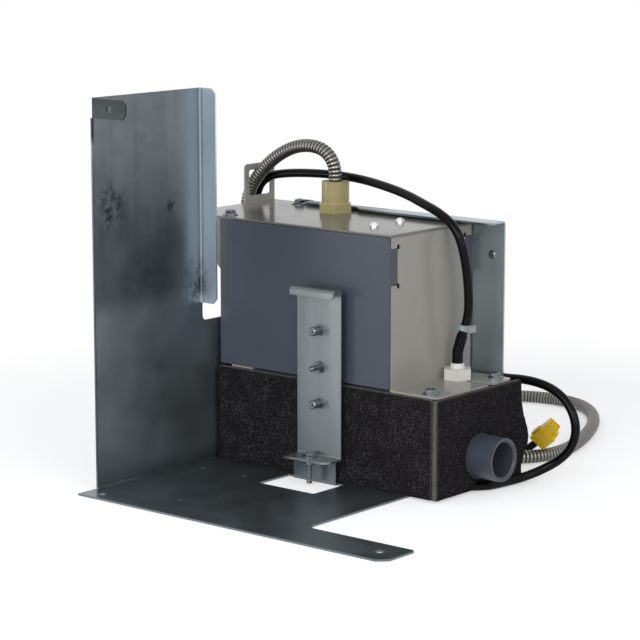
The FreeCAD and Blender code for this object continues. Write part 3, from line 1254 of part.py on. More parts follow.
def discharge_elbow():
    """The outlet pipe: up from the valve, round to the left and out to a plain hose end."""
    x, y = RISER_X, AXIS_Y
    bend = 12.0
    low = VALVE_LOW + VALVE_HEIGHT + 3.0
    start = V(x, y, low)
    rise = V(x, y, OUTLET_Z - bend)
    turn = V(x - bend * (1 - math.cos(math.pi / 4)), y, OUTLET_Z - bend * (1 - math.sin(math.pi / 4)))
    level = V(x - bend, y, OUTLET_Z)
    end = V(LEFT_WALL - OUTLET_REACH, y, OUTLET_Z)
    path = Part.Wire([
        Part.LineSegment(start, rise).toShape(), Part.Arc(rise, turn, level).toShape(),
        Part.LineSegment(level, end).toShape()])
    outer = path.makePipeShell([Part.Wire(Part.makeCircle(RISER_R, start, Z_AXIS))], True, False)
    inner = path.makePipeShell([Part.Wire(Part.makeCircle(RISER_BORE_R, start, Z_AXIS))], True, False)
    collar = rod((LEFT_WALL - 4.0, y, OUTLET_Z), RISER_R + 3.0, 4.0, X_AXIS)
    return fuse([outer, collar]).cut(inner)


# Float and switch


def float_bracket():
    """Two ears under the deck that hold the float's pivot."""
    x = PIVOT_X
    back = box((x - 10.0, FLOAT_Y - 8.0, DECK_BOTTOM - SHEET), (x + 3.0, FLOAT_Y + 8.0, DECK_BOTTOM))
    ears = []
    for y in (FLOAT_Y - 8.0, FLOAT_Y + 8.0 - SHEET):
        ears.append(box((x - 4.5, y, PIVOT_Z - 4.5), (x + 4.5, y + SHEET, DECK_BOTTOM)))
    sheet = fuse([back] + ears)
    return sheet.cut(rod((x, FLOAT_Y - 10, PIVOT_Z), PIVOT_R, 20.0, Y_AXIS))


def pivot_pin():
    pin = rod((PIVOT_X, FLOAT_Y - 9.5, PIVOT_Z), PIVOT_R, 19.0, Y_AXIS)
    heads = [rod((PIVOT_X, FLOAT_Y - 9.5, PIVOT_Z), 2.6, 1.2, Y_AXIS),
             rod((PIVOT_X, FLOAT_Y + 8.3, PIVOT_Z), 2.6, 1.2, Y_AXIS)]
    return fuse([pin] + heads)


def float_arm():
    """The lever from the pivot to the float."""
    x = PIVOT_X
    eye = rod((x, FLOAT_Y - 5.0, PIVOT_Z), 3.6, 10.0, Y_AXIS)
    bar = box((x, FLOAT_Y - 4.0, PIVOT_Z + 0.5), (x + 32.0, FLOAT_Y + 4.0, ARM_TOP))
    drop = box((x + 29.0, FLOAT_Y - 4.0, FLOAT_TOP), (x + 32.0, FLOAT_Y + 4.0, ARM_TOP))
    arm = fuse([eye, bar, drop])
    return arm.cut(rod((x, FLOAT_Y - 6, PIVOT_Z), PIVOT_R + 0.05, 12.0, Y_AXIS))


def float_body():
    """The sealed plastic float."""
    x0 = PIVOT_X + 30.5 - FLOAT_LENGTH / 2
    y0 = FLOAT_Y - FLOAT_WIDTH / 2
    low = FLOAT_TOP - FLOAT_HEIGHT
    block = box((x0, y0, low), (x0 + FLOAT_LENGTH, y0 + FLOAT_WIDTH, FLOAT_TOP))
    return block.makeFillet(3.0, block.Edges)


def switch_rod():
    """The push rod from the float arm to the switch's lever, with a stop collar above the deck."""
    stem = rod((ROD_X, FLOAT_Y, ROD_LOW), ROD_R, LEVER_Z - 0.3 - ROD_LOW)
    collar = rod((ROD_X, FLOAT_Y, DECK_TOP + 0.3), 3.6, 2.0)
    return fuse([stem, collar])


def switch_lever():
    """The thin lever that the rod lifts against the button."""
    bar = box((ROD_X - 4.0, FLOAT_Y - 3.0, LEVER_Z), (LEVER_PIVOT_X, FLOAT_Y + 3.0, LEVER_Z + LEVER_SHEET))
    eye = rod((LEVER_PIVOT_X, FLOAT_Y - 3.0, LEVER_Z + 0.5), 1.6, 6.0, Y_AXIS)
    return fuse([bar, eye]).cut(rod((LEVER_PIVOT_X, FLOAT_Y - 4, LEVER_Z + 0.5), 0.85, 8.0, Y_AXIS))


def switch_body():
    """The snap switch, with two ears that carry its lever and its terminals on top."""
    x1 = LEVER_PIVOT_X + 4.0
    x0 = x1 - SWITCH_LENGTH
    y0 = FLOAT_Y - SWITCH_WIDTH / 2
    block = box((x0, y0, SWITCH_LOW), (x1, y0 + SWITCH_WIDTH, SWITCH_LOW + SWITCH_HEIGHT))
    ears = []
    for y in (y0, y0 + SWITCH_WIDTH - 1.6):
        ears.append(box((LEVER_PIVOT_X - 2.2, y, LEVER_Z - 1.5),
                        (LEVER_PIVOT_X + 2.2, y + 1.6, SWITCH_LOW + 1)))
    pin = rod((LEVER_PIVOT_X, y0, LEVER_Z + 0.5), 0.8, SWITCH_WIDTH, Y_AXIS)
    terminals = [box((x0 + 4.0 + 8.0 * i, FLOAT_Y - 0.4, SWITCH_LOW + SWITCH_HEIGHT - 1),
                     (x0 + 8.5 + 8.0 * i, FLOAT_Y + 0.4, SWITCH_LOW + SWITCH_HEIGHT + 6)) for i in range(3)]
    body = fuse([block] + ears + [pin] + terminals)
    well = rod((BUTTON_X, FLOAT_Y, SWITCH_LOW - 1), 1.5 + 0.08, 7.0)
    return body.cut(well)


def switch_button():
    """The button between the lever and the switch."""
    return rod((BUTTON_X, FLOAT_Y, LEVER_Z + LEVER_SHEET + 0.15), 1.5, 6.6)


def switch_bracket():
    """The post on the deck that carries the switch from behind."""
    y = FLOAT_Y + SWITCH_WIDTH / 2
    x0 = LEVER_PIVOT_X - 16.0
    x1 = LEVER_PIVOT_X + 4.0
    wall = box((x0, y, DECK_TOP), (x1, y + SHEET, SWITCH_LOW + SWITCH_HEIGHT - 2))
    foot = box((x0, y, DECK_TOP), (x1, y + 11.0, DECK_TOP + SHEET))
    return fuse([wall, foot])


NODES = {
    "mounting_base": mounting_base,
    "clamp_strap": clamp_strap,
    "hook_plate": hook_plate,
    "strap_rivets": strap_rivets,
    "strap_screw": strap_screw,
    "strap_nut": strap_nut,
    "clamp_screw": clamp_screw,
    "clinch_nut": clinch_nut,
    "foam_front": foam_front,
    "foam_right": foam_right,
    "foam_lining": foam_lining,
    "tank": tank,
    "inlet_stub": inlet_stub,
    "deck_gasket": deck_gasket,
    "deck_plate": deck_plate,
    "chassis": chassis,
    "left_wall": left_wall,
    "front_cover": front_cover,
    "rear_cover": rear_cover,
    "back_bracket": back_bracket,
    "back_rivets": back_rivets,
    "flange_screws": flange_screws,
    "motor_hanger_screws": motor_hanger_screws,
    "conduit_adapter": conduit_adapter,
    "gland_body": gland_body,
    "locknuts": locknuts,
    "cord_sleeve": cord_sleeve,
    "cable_tie": cable_tie,
    "conduit": conduit,
    "black_cord": black_cord,
    "conduit_bushing": conduit_bushing,
    "plug_lead": plug_lead,
    "plug_shell": plug_shell,
    "plug_pins": plug_pins,
    "stator": stator,
    "windings": windings,
    "bearing_brackets": bearing_brackets,
    "bushes": bushes,
    "tie_bolts": tie_bolts,
    "motor_posts": motor_posts,
    "motor_hanger": motor_hanger,
    "motor_rotor": rotor,
    "motor_shaft": motor_shaft,
    "cooling_fan": cooling_fan,
    "impeller": impeller,
    "pump_housing": pump_housing,
    "strainer": strainer,
    "discharge_riser": discharge_riser,
    "check_valve": check_valve,
    "valve_poppet": valve_poppet,
    "discharge_elbow": discharge_elbow,
    "float_bracket": float_bracket,
    "pivot_pin": pivot_pin,
    "float_arm": float_arm,
    "float_body": float_body,
    "switch_rod": switch_rod,
    "switch_lever": switch_lever,
    "switch_body": switch_body,
    "switch_button": switch_button,
    "switch_bracket": switch_bracket,
}


def main():
    os.makedirs("parts", exist_ok=True)
    for name, make in NODES.items():
        shape = place(make())
        shape.exportStep(os.path.join("parts", name + ".step"))
        print("%-24s solids %d valid %s volume %.0f" % (name, len(shape.Solids), shape.isValid(),
                                                        shape.Volume))


main()
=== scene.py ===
import json
import math

import bpy
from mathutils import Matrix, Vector, noise


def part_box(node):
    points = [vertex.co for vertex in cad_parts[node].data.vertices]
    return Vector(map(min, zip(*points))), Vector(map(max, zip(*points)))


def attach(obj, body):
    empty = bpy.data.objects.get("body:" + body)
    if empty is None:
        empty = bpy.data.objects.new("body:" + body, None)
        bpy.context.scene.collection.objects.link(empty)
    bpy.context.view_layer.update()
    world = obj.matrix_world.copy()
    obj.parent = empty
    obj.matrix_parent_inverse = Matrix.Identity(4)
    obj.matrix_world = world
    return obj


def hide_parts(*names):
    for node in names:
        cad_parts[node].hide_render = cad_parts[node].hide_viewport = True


MM = 0.001

# Camera, measured from the base's left front corner in millimetres
CAMERA_AT = (1296.4, -1269.5, 458.0)
CAMERA_LOOKS = (-0.6306, 0.7558, -0.1766)
CAMERA_LENS = 138.8
SENSOR = 36.0

# Cables: the same routes as the solids have, in millimetres from the base's corner
CONDUIT_R = 5.35
CONDUIT_PITCH = 3.0
CONDUIT_GROOVE = 0.95
CORD_R = 3.5
LEAD_R = 3.0
CONDUIT_ROUTE = [
    (60.2, 231.3, 221.1), (60.2, 231.3, 229.0), (57.4, 231.4, 236.6), (52.0, 231.6, 242.4),
    (44.4, 231.9, 246.0), (35.0, 232.2, 247.4), (24.6, 232.6, 246.8), (13.8, 233.0, 244.2),
    (2.3, 233.4, 239.2), (-9.5, 234.0, 232.0), (-21.0, 234.6, 222.4), (-32.0, 235.0, 210.2),
    (-40.5, 237.5, 190.8), (-46.0, 243.0, 168.0), (-50.0, 254.0, 143.0), (-50.0, 272.0, 115.0),
    (-47.0, 296.0, 86.0), (-42.0, 325.0, 58.0), (-34.0, 358.0, 33.0), (-22.0, 393.0, 14.0),
    (-4.0, 427.0, 5.6), (20.0, 458.0, 5.35), (51.0, 485.0, 5.35), (86.0, 499.0, 5.35),
    (121.0, 494.0, 5.35), (150.0, 470.0, 5.35), (173.0, 437.0, 5.35), (190.5, 401.0, 5.35),
    (204.0, 365.0, 5.35), (211.0, 334.0, 5.35), (206.0, 307.0, 5.35), (191.0, 287.5, 5.7),
    (172.5, 278.6, 6.9), (159.0, 277.0, 7.4), (146.0, 277.0, 7.4),
]
CORD_ROUTE = [
    (189.5, 221.5, 92.2), (189.5, 221.5, 101.0), (192.6, 223.0, 114.0), (196.4, 226.0, 130.0),
    (196.6, 225.0, 150.0), (196.6, 221.5, 169.0), (194.0, 218.5, 187.0), (187.0, 217.5, 199.0),
    (172.0, 219.5, 206.8), (155.0, 224.0, 211.0), (130.0, 232.5, 216.2), (102.0, 239.0, 220.2),
    (73.0, 245.0, 222.8), (44.0, 246.5, 223.8), (16.0, 246.0, 223.0), (-6.0, 245.5, 221.0),
    (-21.0, 245.0, 218.0), (-33.0, 245.3, 209.0), (-39.5, 248.5, 191.0), (-41.5, 256.0, 171.0),
    (-36.0, 266.0, 152.0), (-20.0, 273.5, 138.0), (8.0, 274.0, 125.0), (42.0, 269.0, 112.0),
    (80.0, 266.0, 98.0), (120.0, 265.5, 87.0), (160.0, 266.5, 78.5), (196.0, 267.0, 74.4),
    (225.0, 266.5, 76.6), (249.0, 266.0, 72.6), (264.6, 265.5, 61.0), (271.0, 265.0, 45.0),
    (267.3, 264.5, 29.5), (256.7, 263.5, 18.2), (246.0, 258.0, 10.6), (237.0, 247.5, 5.4),
    (232.0, 234.0, 3.6), (230.0, 220.5, 3.5), (227.8, 207.5, 3.7), (220.5, 197.0, 4.5),
]
LEAD_ROUTE = [
    (127.8, 277.0, 7.4), (114.0, 277.0, 7.4), (102.4, 285.4, 5.4), (98.0, 299.0, 3.4),
    (102.4, 312.6, 3.0), (114.0, 322.0, 3.0), (131.0, 324.5, 3.0), (149.0, 322.5, 3.0),
    (165.0, 318.0, 3.0), (178.5, 313.6, 3.1), (187.2, 312.3, 5.2), (194.6, 312.3, 10.2),
    (202.2, 312.3, 16.5),
]

# Painted dark reflections on the upright: middle and reach in millimetres
UPRIGHT_DARK_REFLECTIONS = (
    ((0, 38, 213), (12, 22, 26)),
    ((0, 103, 210), (12, 11, 13)),
    ((0, 130, 147), (12, 13, 26)),
)
DARK_REFLECTION_STRENGTH = 0.9
DARK_REFLECTION_SHADE = 0.2

# Painted light and shade on the zinc: lighter zones stand for reflections and light, darker ones for shade;
# two corners in millimetres and a factor
ZINC_LIGHT_AND_SHADE = (
    ((-9, 112, 150), (9, 250, 330), 1.45),
    ((-9, -30, 2), (9, 250, 145), 2.1),
    ((-20, -60, -3), (320, 320, 2.2), 1.25),
    ((1.7, 120, 100), (40, 200, 330), 4.6),
    ((-6, 8, 262), (60, 22, 330), 0.18),
    ((-6, 8, -6), (60, 21, 266), 0.6),
    ((90, 235, 60), (300, 300, 300), 2.9),
)

# Painted shade on the beige paint: the top plate made darker, as it gets less light than the sides
TOP_PLATE_SHADE = (
    ((-20, 90, 194), (300, 320, 206), 0.5),
)
ZONE_SOFT = 0.1

# Foam: size of the remeshed cells, how far the skin swells, and where a side counts as cut
FOAM_VOXEL = 1.6 * MM
FOAM_SWELL = 0.5 * MM
FOAM_WAVE = 90.0
CUT_BELOW = 0.75
CUT_SOFT = 0.4
CUT_EDGE = (0.12, 0.118, 0.112)
CUT_CRUMB = (0.3, 0.29, 0.28)

# Curl of the end sheet's rear edge: where it starts, its length, its middle height and its depth
CURL_FROM = 232.0
CURL_OVER = 24 * MM
CURL_MIDDLE = 28 * MM
CURL_HEIGHT = 34 * MM
CURL_OUT = 2.6 * MM

# Conduit: sections for each turn of the strip, and corners around it
TURN_STEPS = 6
TUBE_CORNERS = 18

# Clamp screw: the head's rings have a share of its width and a height above the seat
SCREW_SEAT = 22.0
THREAD_R = 2.4 * MM
THREAD_PITCH = 0.9 * MM
THREAD_DEPTH = 0.32 * MM
THREAD_CORNERS = 20
THREAD_STEPS = 6
HEAD_CORNERS = 48
FLANGE_R = 6.2 * MM
NECK_R = 4.6 * MM
HEX_HALF = 4.0 * MM
HEX_CORNER = 4.45 * MM
DISH_R = 4.1 * MM
HEAD_RINGS = ((1.0, 1.5), (1.0, 2.8), (0.93, 3.2), (0.62, 3.2), (0.55, 2.9), (0.0, 2.8))

# Floor, in metres: reach and middle, the light it adds, and where it turns plain white
FLOOR_REACH = 6.0
FLOOR_AT = (0, 0.08, -0.0002)
FLOOR_COLOUR = (0.86, 0.86, 0.86)
FLOOR_LIFT = 0.45
WHITE_FROM = 0.40
WHITE_TO = 0.62

# Sky that lights the object
SKY_COLOUR = (0.95, 0.97, 1.0)
SKY_STRENGTH = 0.45

# Lamps: place in millimetres, size in metres and power in watts
LAMPS = {
    "key": ((600, -2500, 1000), (1.8, 1.4), 34),
    "near camera": ((1500, -1650, 800), (0.35, 0.35), 3.5),
    "left card": ((-900, -800, 120), (0.6, 0.24), 2.0),
    "fill": ((2500, -700, 1000), (1.6, 1.4), 18),
}
LAMPS_LOOK_AT = (110, 150, 120)

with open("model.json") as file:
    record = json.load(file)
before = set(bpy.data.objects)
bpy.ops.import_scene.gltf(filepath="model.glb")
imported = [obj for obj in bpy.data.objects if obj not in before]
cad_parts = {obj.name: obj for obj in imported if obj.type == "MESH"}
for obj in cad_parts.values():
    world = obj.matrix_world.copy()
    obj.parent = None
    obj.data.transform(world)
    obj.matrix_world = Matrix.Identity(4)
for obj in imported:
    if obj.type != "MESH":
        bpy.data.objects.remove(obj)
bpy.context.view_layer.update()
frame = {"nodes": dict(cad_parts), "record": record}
CORNER = Vector(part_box("mounting_base")[0])


def place(point):
    """A point given in millimetres from the base's corner, in the frame's metres."""
    return CORNER + Vector(point) * MM


# Camera

def add_camera():
    data = bpy.data.cameras.new("camera")
    data.lens = CAMERA_LENS
    data.sensor_width = SENSOR
    data.clip_end = 20
    camera = bpy.data.objects.new("camera", data)
    camera.location = place(CAMERA_AT)
    camera.rotation_mode = "QUATERNION"
    camera.rotation_quaternion = Vector(CAMERA_LOOKS).to_track_quat("-Z", "Y")
    bpy.context.collection.objects.link(camera)
    bpy.context.scene.camera = camera


# Materials

class Shader:
    """A material with short calls for the nodes that it uses."""

    def __init__(self, name):
        self.material = bpy.data.materials.new(name)
        self.material.use_nodes = True
        self.tree = self.material.node_tree
        self.bsdf = self.tree.nodes["Principled BSDF"]
        self.where = self.tree.nodes.new("ShaderNodeTexCoord").outputs["Object"]

    def new(self, kind, **values):
        node = self.tree.nodes.new(kind)
        for key, value in values.items():
            setattr(node, key, value)
        return node

    def link(self, out, into):
        self.tree.links.new(out, into)

    def set(self, **values):
        names = {
            "rough": "Roughness",
            "metal": "Metallic",
            "coat": "Coat Weight",
            "specular": "Specular IOR Level",
            "milky": "Subsurface Weight",
            "milky_reach": "Subsurface Radius",
        }
        for key, value in values.items():
            self.bsdf.inputs[names[key]].default_value = value

    def scaled(self, scale):
        node = self.new("ShaderNodeMapping")
        node.inputs["Scale"].default_value = scale
        self.link(self.where, node.inputs["Vector"])
        return node.outputs["Vector"]

    def noise(self, scale, detail=2.0, rough=0.5, stretch=None, distortion=0.0):
        node = self.new("ShaderNodeTexNoise")
        node.inputs["Scale"].default_value = scale
        node.inputs["Detail"].default_value = detail
        node.inputs["Roughness"].default_value = rough
        node.inputs["Distortion"].default_value = distortion
        self.link(self.scaled(stretch) if stretch else self.where, node.inputs["Vector"])
        return node.outputs["Fac"]

    def cells(self, scale, out="Color"):
        node = self.new("ShaderNodeTexVoronoi")
        node.inputs["Scale"].default_value = scale
        self.link(self.where, node.inputs["Vector"])
        return node.outputs[out]

    def bands(self, scale, distortion=0.0):
        """Waves stacked along the height."""
        node = self.new("ShaderNodeTexWave", wave_type="BANDS", bands_direction="Z")
        node.inputs["Scale"].default_value = scale
        node.inputs["Distortion"].default_value = distortion
        self.link(self.where, node.inputs["Vector"])
        return node.outputs["Fac"]

    def span(self, value, low, high, to_low=0.0, to_high=1.0):
        node = self.new("ShaderNodeMapRange", clamp=True)
        for key, number in (("From Min", low), ("From Max", high), ("To Min", to_low), ("To Max", to_high)):
            node.inputs[key].default_value = number
        self.link(value, node.inputs["Value"])
        return node.outputs["Result"]

    def math(self, operation, a, b):
        node = self.new("ShaderNodeMath", operation=operation)
        for socket, value in zip(node.inputs, (a, b)):
            if isinstance(value, (int, float)):
                socket.default_value = value
            else:
                self.link(value, socket)
        return node.outputs[0]

    def mix(self, factor, a, b):
        node = self.new("ShaderNodeMix", data_type="RGBA")
        sockets = (node.inputs[0], node.inputs[6], node.inputs[7])
        for socket, value in zip(sockets, (factor, a, b)):
            if isinstance(value, (int, float)):
                socket.default_value = value
            elif isinstance(value, (tuple, list)):
                socket.default_value = tuple(value) + (1,)
            else:
                self.link(value, socket)
        return node.outputs[2]

    def colour(self, out):
        self.link(out, self.bsdf.inputs["Base Color"])

    def rough(self, out):
        self.link(out, self.bsdf.inputs["Roughness"])

    def bump(self, height, distance, strength=1.0):
        node = self.new("ShaderNodeBump")
        node.inputs["Strength"].default_value = strength
        node.inputs["Distance"].default_value = distance
        self.link(height, node.inputs["Height"])
        self.link(node.outputs["Normal"], self.bsdf.inputs["Normal"])


def shade(colour, factor):
    return tuple(min(1.0, c * factor) for c in colour)


def dark_reflection_spot(s, at, reach):
    """How strongly a painted dark reflection shows around a spot: torn by noise and fading outwards."""
    shift = s.new("ShaderNodeVectorMath", operation="SUBTRACT")
    shift.inputs[1].default_value = tuple(place(at))
    s.link(s.where, shift.inputs[0])
    scaled = s.new("ShaderNodeVectorMath", operation="DIVIDE")
    scaled.inputs[1].default_value = tuple(v * MM for v in reach)
    s.link(shift.outputs["Vector"], scaled.inputs[0])
    far = s.new("ShaderNodeVectorMath", operation="LENGTH")
    s.link(scaled.outputs["Vector"], far.inputs[0])
    near = s.span(far.outputs["Value"], 0.35, 1.0, 1.0, 0.0)
    torn = s.span(s.noise(95.0, 7.0, 0.8, stretch=(1.0, 1.2, 0.8), distortion=0.5), 0.46, 0.58)
    return s.math("MULTIPLY", near, torn)


def inside(s, low, high):
    """One within a box given by two corners, nought outside, with soft sides."""
    parts = s.new("ShaderNodeSeparateXYZ")
    s.link(s.where, parts.inputs[0])
    found = 1.0
    for axis, first, last in zip("XYZ", place(low), place(high)):
        soft = (last - first) * ZONE_SOFT
        rise = s.span(parts.outputs[axis], first, first + soft)
        fall = s.span(parts.outputs[axis], last - soft, last, 1.0, 0.0)
        found = s.math("MULTIPLY", s.math("MULTIPLY", rise, fall), found)
    return found


def add_painted_light(s, base, colour, light_and_shade_zones):
    """The base colour with painted light and shade: lighter and darker zones."""
    for low, high, factor in light_and_shade_zones:
        base = s.mix(inside(s, low, high), base, shade(colour, factor))
    return base


def sheet_metal(name, colour, rough=0.34, spangle=0.1, dark_reflection_share=0.3, light_and_shade_zones=(), marks=()):
    """Zinc coated sheet: faint crystal patches, with painted light and shade: lighter upright streaks and
    dark patches as painted reflections, lit and shaded zones, and dark spots as painted reflections.
    """
    s = Shader(name)
    s.set(metal=0.9)
    patches = s.cells(150.0)
    light_reflection_streaks = s.noise(22.0, 4.0, 0.6, stretch=(3.0, 3.0, 0.2))
    dark_reflection_patches = s.noise(15.0, 5.0, 0.6, distortion=0.7)
    base = s.mix(patches, shade(colour, 1 - spangle), shade(colour, 1 + spangle))
    # painted reflection: lighter upright streaks
    base = s.mix(s.span(light_reflection_streaks, 0.4, 0.68, 0.0, 0.8), base, shade(colour, 1.25))
    # painted reflection: dark patches of the zinc
    base = s.mix(s.span(dark_reflection_patches, 0.54, 0.72, 0.0, dark_reflection_share), base, shade(colour, 0.5))
    # painted light and shade: zones of the zinc made lighter or darker
    base = add_painted_light(s, base, colour, light_and_shade_zones)
    # painted reflection: dark spots on the upright, mixed into the zinc colour
    for at, reach in marks:
        strength = s.math("MULTIPLY", dark_reflection_spot(s, at, reach), DARK_REFLECTION_STRENGTH)
        base = s.mix(strength, base, shade(colour, DARK_REFLECTION_SHADE))
    s.colour(base)
    s.rough(s.span(s.noise(30.0, 3.0, 0.6), 0.3, 0.7, rough - 0.05, rough + 0.07))
    return s.material


def bright_metal(name, colour, rough=0.22):
    """Plated or ground steel with a slightly uneven tone."""
    s = Shader(name)
    s.set(metal=1.0)
    tone = s.noise(200.0, 3.0, 0.6)
    s.colour(s.mix(tone, shade(colour, 0.85), shade(colour, 1.1)))
    s.rough(s.span(tone, 0.3, 0.7, rough - 0.05, rough + 0.08))
    return s.material


def conduit_metal(name, colour, rough):
    """Polished strip whose grooves are dull, and darkened as painted shade."""
    s = Shader(name)
    s.set(metal=1.0)
    groove = s.new("ShaderNodeAttribute", attribute_name="groove").outputs["Fac"]
    # painted shade: the grooves darkened
    s.colour(s.mix(groove, colour, shade(colour, 0.06)))
    s.rough(s.span(groove, 0.0, 1.0, rough, 0.5))
    return s.material


def gloss_paint(name, colour, rough, peel, specular, light_and_shade_zones=()):
    """Baked paint with a slight orange peel, a little dust and rubbed tone."""
    s = Shader(name)
    s.set(specular=specular)
    tone = s.noise(14.0, 3.0, 0.5)
    dust = s.noise(1400.0, 2.0, 0.7)
    base = s.mix(s.span(tone, 0.3, 0.7), shade(colour, 0.94), shade(colour, 1.05))
    # painted shade: zones of the paint made darker where less light falls
    base = add_painted_light(s, base, colour, light_and_shade_zones)
    s.colour(s.mix(s.span(dust, 0.66, 0.8, 0.0, 0.15), base, shade(colour, 1.3)))
    s.rough(s.span(tone, 0.3, 0.7, rough - 0.03, rough + 0.05))
    s.bump(s.noise(420.0, 1.0, 0.4), 0.00003, peel)
    return s.material


def plastic(name, colour, rough=0.45, grain=500.0, depth=0.00003, milky=0.0):
    """Moulded plastic with a fine grain and a soft change of tone."""
    s = Shader(name)
    s.set(specular=0.45)
    tone = s.noise(25.0, 3.0, 0.5)
    s.colour(s.mix(tone, shade(colour, 0.86), shade(colour, 1.12)))
    s.rough(s.span(s.noise(80.0), 0.3, 0.7, rough - 0.06, rough + 0.06))
    s.bump(s.noise(grain, 2.0, 0.5), depth, 0.6)
    if milky:
        s.set(milky=milky, milky_reach=(0.004, 0.003, 0.0015))
    return s.material


def rubber(name, colour, rough=0.5):
    """Cable jacket: extruded, with faint lengthwise rub marks."""
    s = Shader(name)
    s.set(specular=0.12)
    rub = s.noise(90.0, 4.0, 0.6)
    s.colour(s.mix(s.span(rub, 0.55, 0.75, 0.0, 0.5), colour, shade(colour, 2.2)))
    s.rough(s.span(rub, 0.3, 0.7, rough - 0.05, rough + 0.1))
    s.bump(s.noise(600.0, 2.0, 0.5), 0.00003, 0.5)
    return s.material


def foam(name, colour):
    """Black cell foam: a dense grain of small light crumbs, and paler cut edges."""
    s = Shader(name)
    s.set(specular=0.04, rough=0.95)
    pores = s.cells(700.0, "Distance")
    crumbs = s.noise(620.0, 3.0, 0.8)
    patches = s.noise(60.0, 3.0, 0.6)
    base = s.mix(s.span(crumbs, 0.42, 0.62), shade(colour, 0.5), shade(colour, 2.0))
    base = s.mix(s.span(patches, 0.35, 0.7), shade(colour, 0.9), base)
    cut = s.new("ShaderNodeAttribute", attribute_name="cut")
    worn = s.math("MULTIPLY", cut.outputs["Fac"], s.span(s.noise(160.0, 4.0, 0.6), 0.2, 0.55, 0.6, 1.0))
    base = s.mix(worn, base, CUT_EDGE)
    gate = s.span(s.cells(1150.0), 0.5, 0.75)
    middle = s.span(s.cells(1150.0, "Distance"), 0.25, 0.5, 1.0, 0.0)
    base = s.mix(s.math("MULTIPLY", s.math("MULTIPLY", gate, middle), 0.26), base, CUT_CRUMB)
    s.colour(base)
    s.bump(s.math("ADD", pores, crumbs), 0.0004, 0.6)
    return s.material


def winding(name, colour):
    """Varnished copper wire in tight turns, darker between the turns as painted shade."""
    s = Shader(name)
    s.set(metal=0.8, coat=0.4, rough=0.3)
    wave = s.bands(400.0, 1.5)
    # painted shade: darker bands between the wire turns
    s.colour(s.mix(wave, shade(colour, 0.5), colour))
    s.bump(wave, 0.0002, 0.8)
    return s.material


def stack(name, colour):
    """Edges of thin stacked sheets."""
    s = Shader(name)
    s.set(metal=0.9, rough=0.42)
    wave = s.bands(320.0)
    s.colour(s.mix(wave, shade(colour, 0.45), colour))
    s.bump(wave, 0.0001, 0.6)
    return s.material


def make_materials():
    """One material for each slot of the record."""
    return {
        "galvanised": sheet_metal("galvanised", (0.138, 0.161, 0.176),
                                  light_and_shade_zones=ZINC_LIGHT_AND_SHADE, marks=UPRIGHT_DARK_REFLECTIONS),
        "strap_zinc": sheet_metal("strap_zinc", (0.23, 0.255, 0.262), 0.4, 0.03, 0.04),
        "screw_zinc": bright_metal("screw_zinc", (0.19, 0.205, 0.23), 0.24),
        "foam": foam("foam", (0.0125, 0.0112, 0.013)),
        "tank_plastic": plastic("tank_plastic", (0.03, 0.03, 0.033)),
        "gasket_rubber": rubber("gasket_rubber", (0.02, 0.02, 0.02), 0.7),
        "beige_paint": gloss_paint("beige_paint", (0.315, 0.305, 0.272), 0.16, 0.1, 0.2, TOP_PLATE_SHADE),
        "grey_paint": gloss_paint("grey_paint", (0.06, 0.07, 0.09), 0.34, 0.2, 0.3),
        "conduit_steel": conduit_metal("conduit_steel", (0.3, 0.29, 0.262), 0.15),
        "cord_rubber": rubber("cord_rubber", (0.0025, 0.0025, 0.003), 0.2),
        "lead_rubber": rubber("lead_rubber", (0.012, 0.012, 0.012)),
        "tie_nylon": plastic("tie_nylon", (0.27, 0.31, 0.33), 0.35),
        "tan_nylon": plastic("tan_nylon", (0.36, 0.31, 0.14), 0.28, 300.0, 0.00002, 0.35),
        "white_nylon": plastic("white_nylon", (0.66, 0.66, 0.61), 0.35),
        "grey_pvc": plastic("grey_pvc", (0.05, 0.061, 0.079), 0.42),
        "yellow_plastic": plastic("yellow_plastic", (0.8, 0.53, 0.003), 0.3),
        "contact_brass": bright_metal("contact_brass", (0.7, 0.5, 0.2)),
        "motor_steel": stack("motor_steel", (0.3, 0.3, 0.31)),
        "copper_wire": winding("copper_wire", (0.6, 0.22, 0.07)),
        "bracket_zinc": sheet_metal("bracket_zinc", (0.45, 0.45, 0.45), 0.45, 0.05, 0.2),
        "bush_bronze": bright_metal("bush_bronze", (0.4, 0.26, 0.1), 0.4),
        "shaft_steel": bright_metal("shaft_steel", (0.8, 0.81, 0.82), 0.3),
        "rotor_alloy": stack("rotor_alloy", (0.5, 0.5, 0.51)),
        "pump_plastic": plastic("pump_plastic", (0.04, 0.04, 0.044)),
        "wheel_plastic": plastic("wheel_plastic", (0.4, 0.4, 0.38)),
        "float_plastic": plastic("float_plastic", (0.55, 0.52, 0.44), 0.6),
        "valve_plastic": plastic("valve_plastic", (0.1, 0.1, 0.11)),
        "poppet_rubber": rubber("poppet_rubber", (0.08, 0.02, 0.02)),
        "switch_plastic": plastic("switch_plastic", (0.025, 0.025, 0.028), 0.3),
        "button_red": plastic("button_red", (0.4, 0.02, 0.015), 0.3),
    }


def dress_solids(materials):
    """Gives every solid its own material."""
    for part in frame["record"]["subparts"]:
        solid = frame["nodes"][part["node"]]
        material = materials[part["material_slot"]]
        if not solid.material_slots:
            solid.data.materials.append(material)
        for slot in solid.material_slots:
            slot.material = material


# Meshes

def add_mesh(name, verts, faces, material, smooth=True):
    mesh = bpy.data.meshes.new(name)
    mesh.from_pydata([tuple(v) for v in verts], [], faces)
    mesh.update()
    piece = bpy.data.objects.new(name, mesh)
    bpy.context.collection.objects.link(piece)
    mesh.materials.append(material)
    if smooth:
        mesh.polygons.foreach_set("use_smooth", [True] * len(mesh.polygons))
    return piece


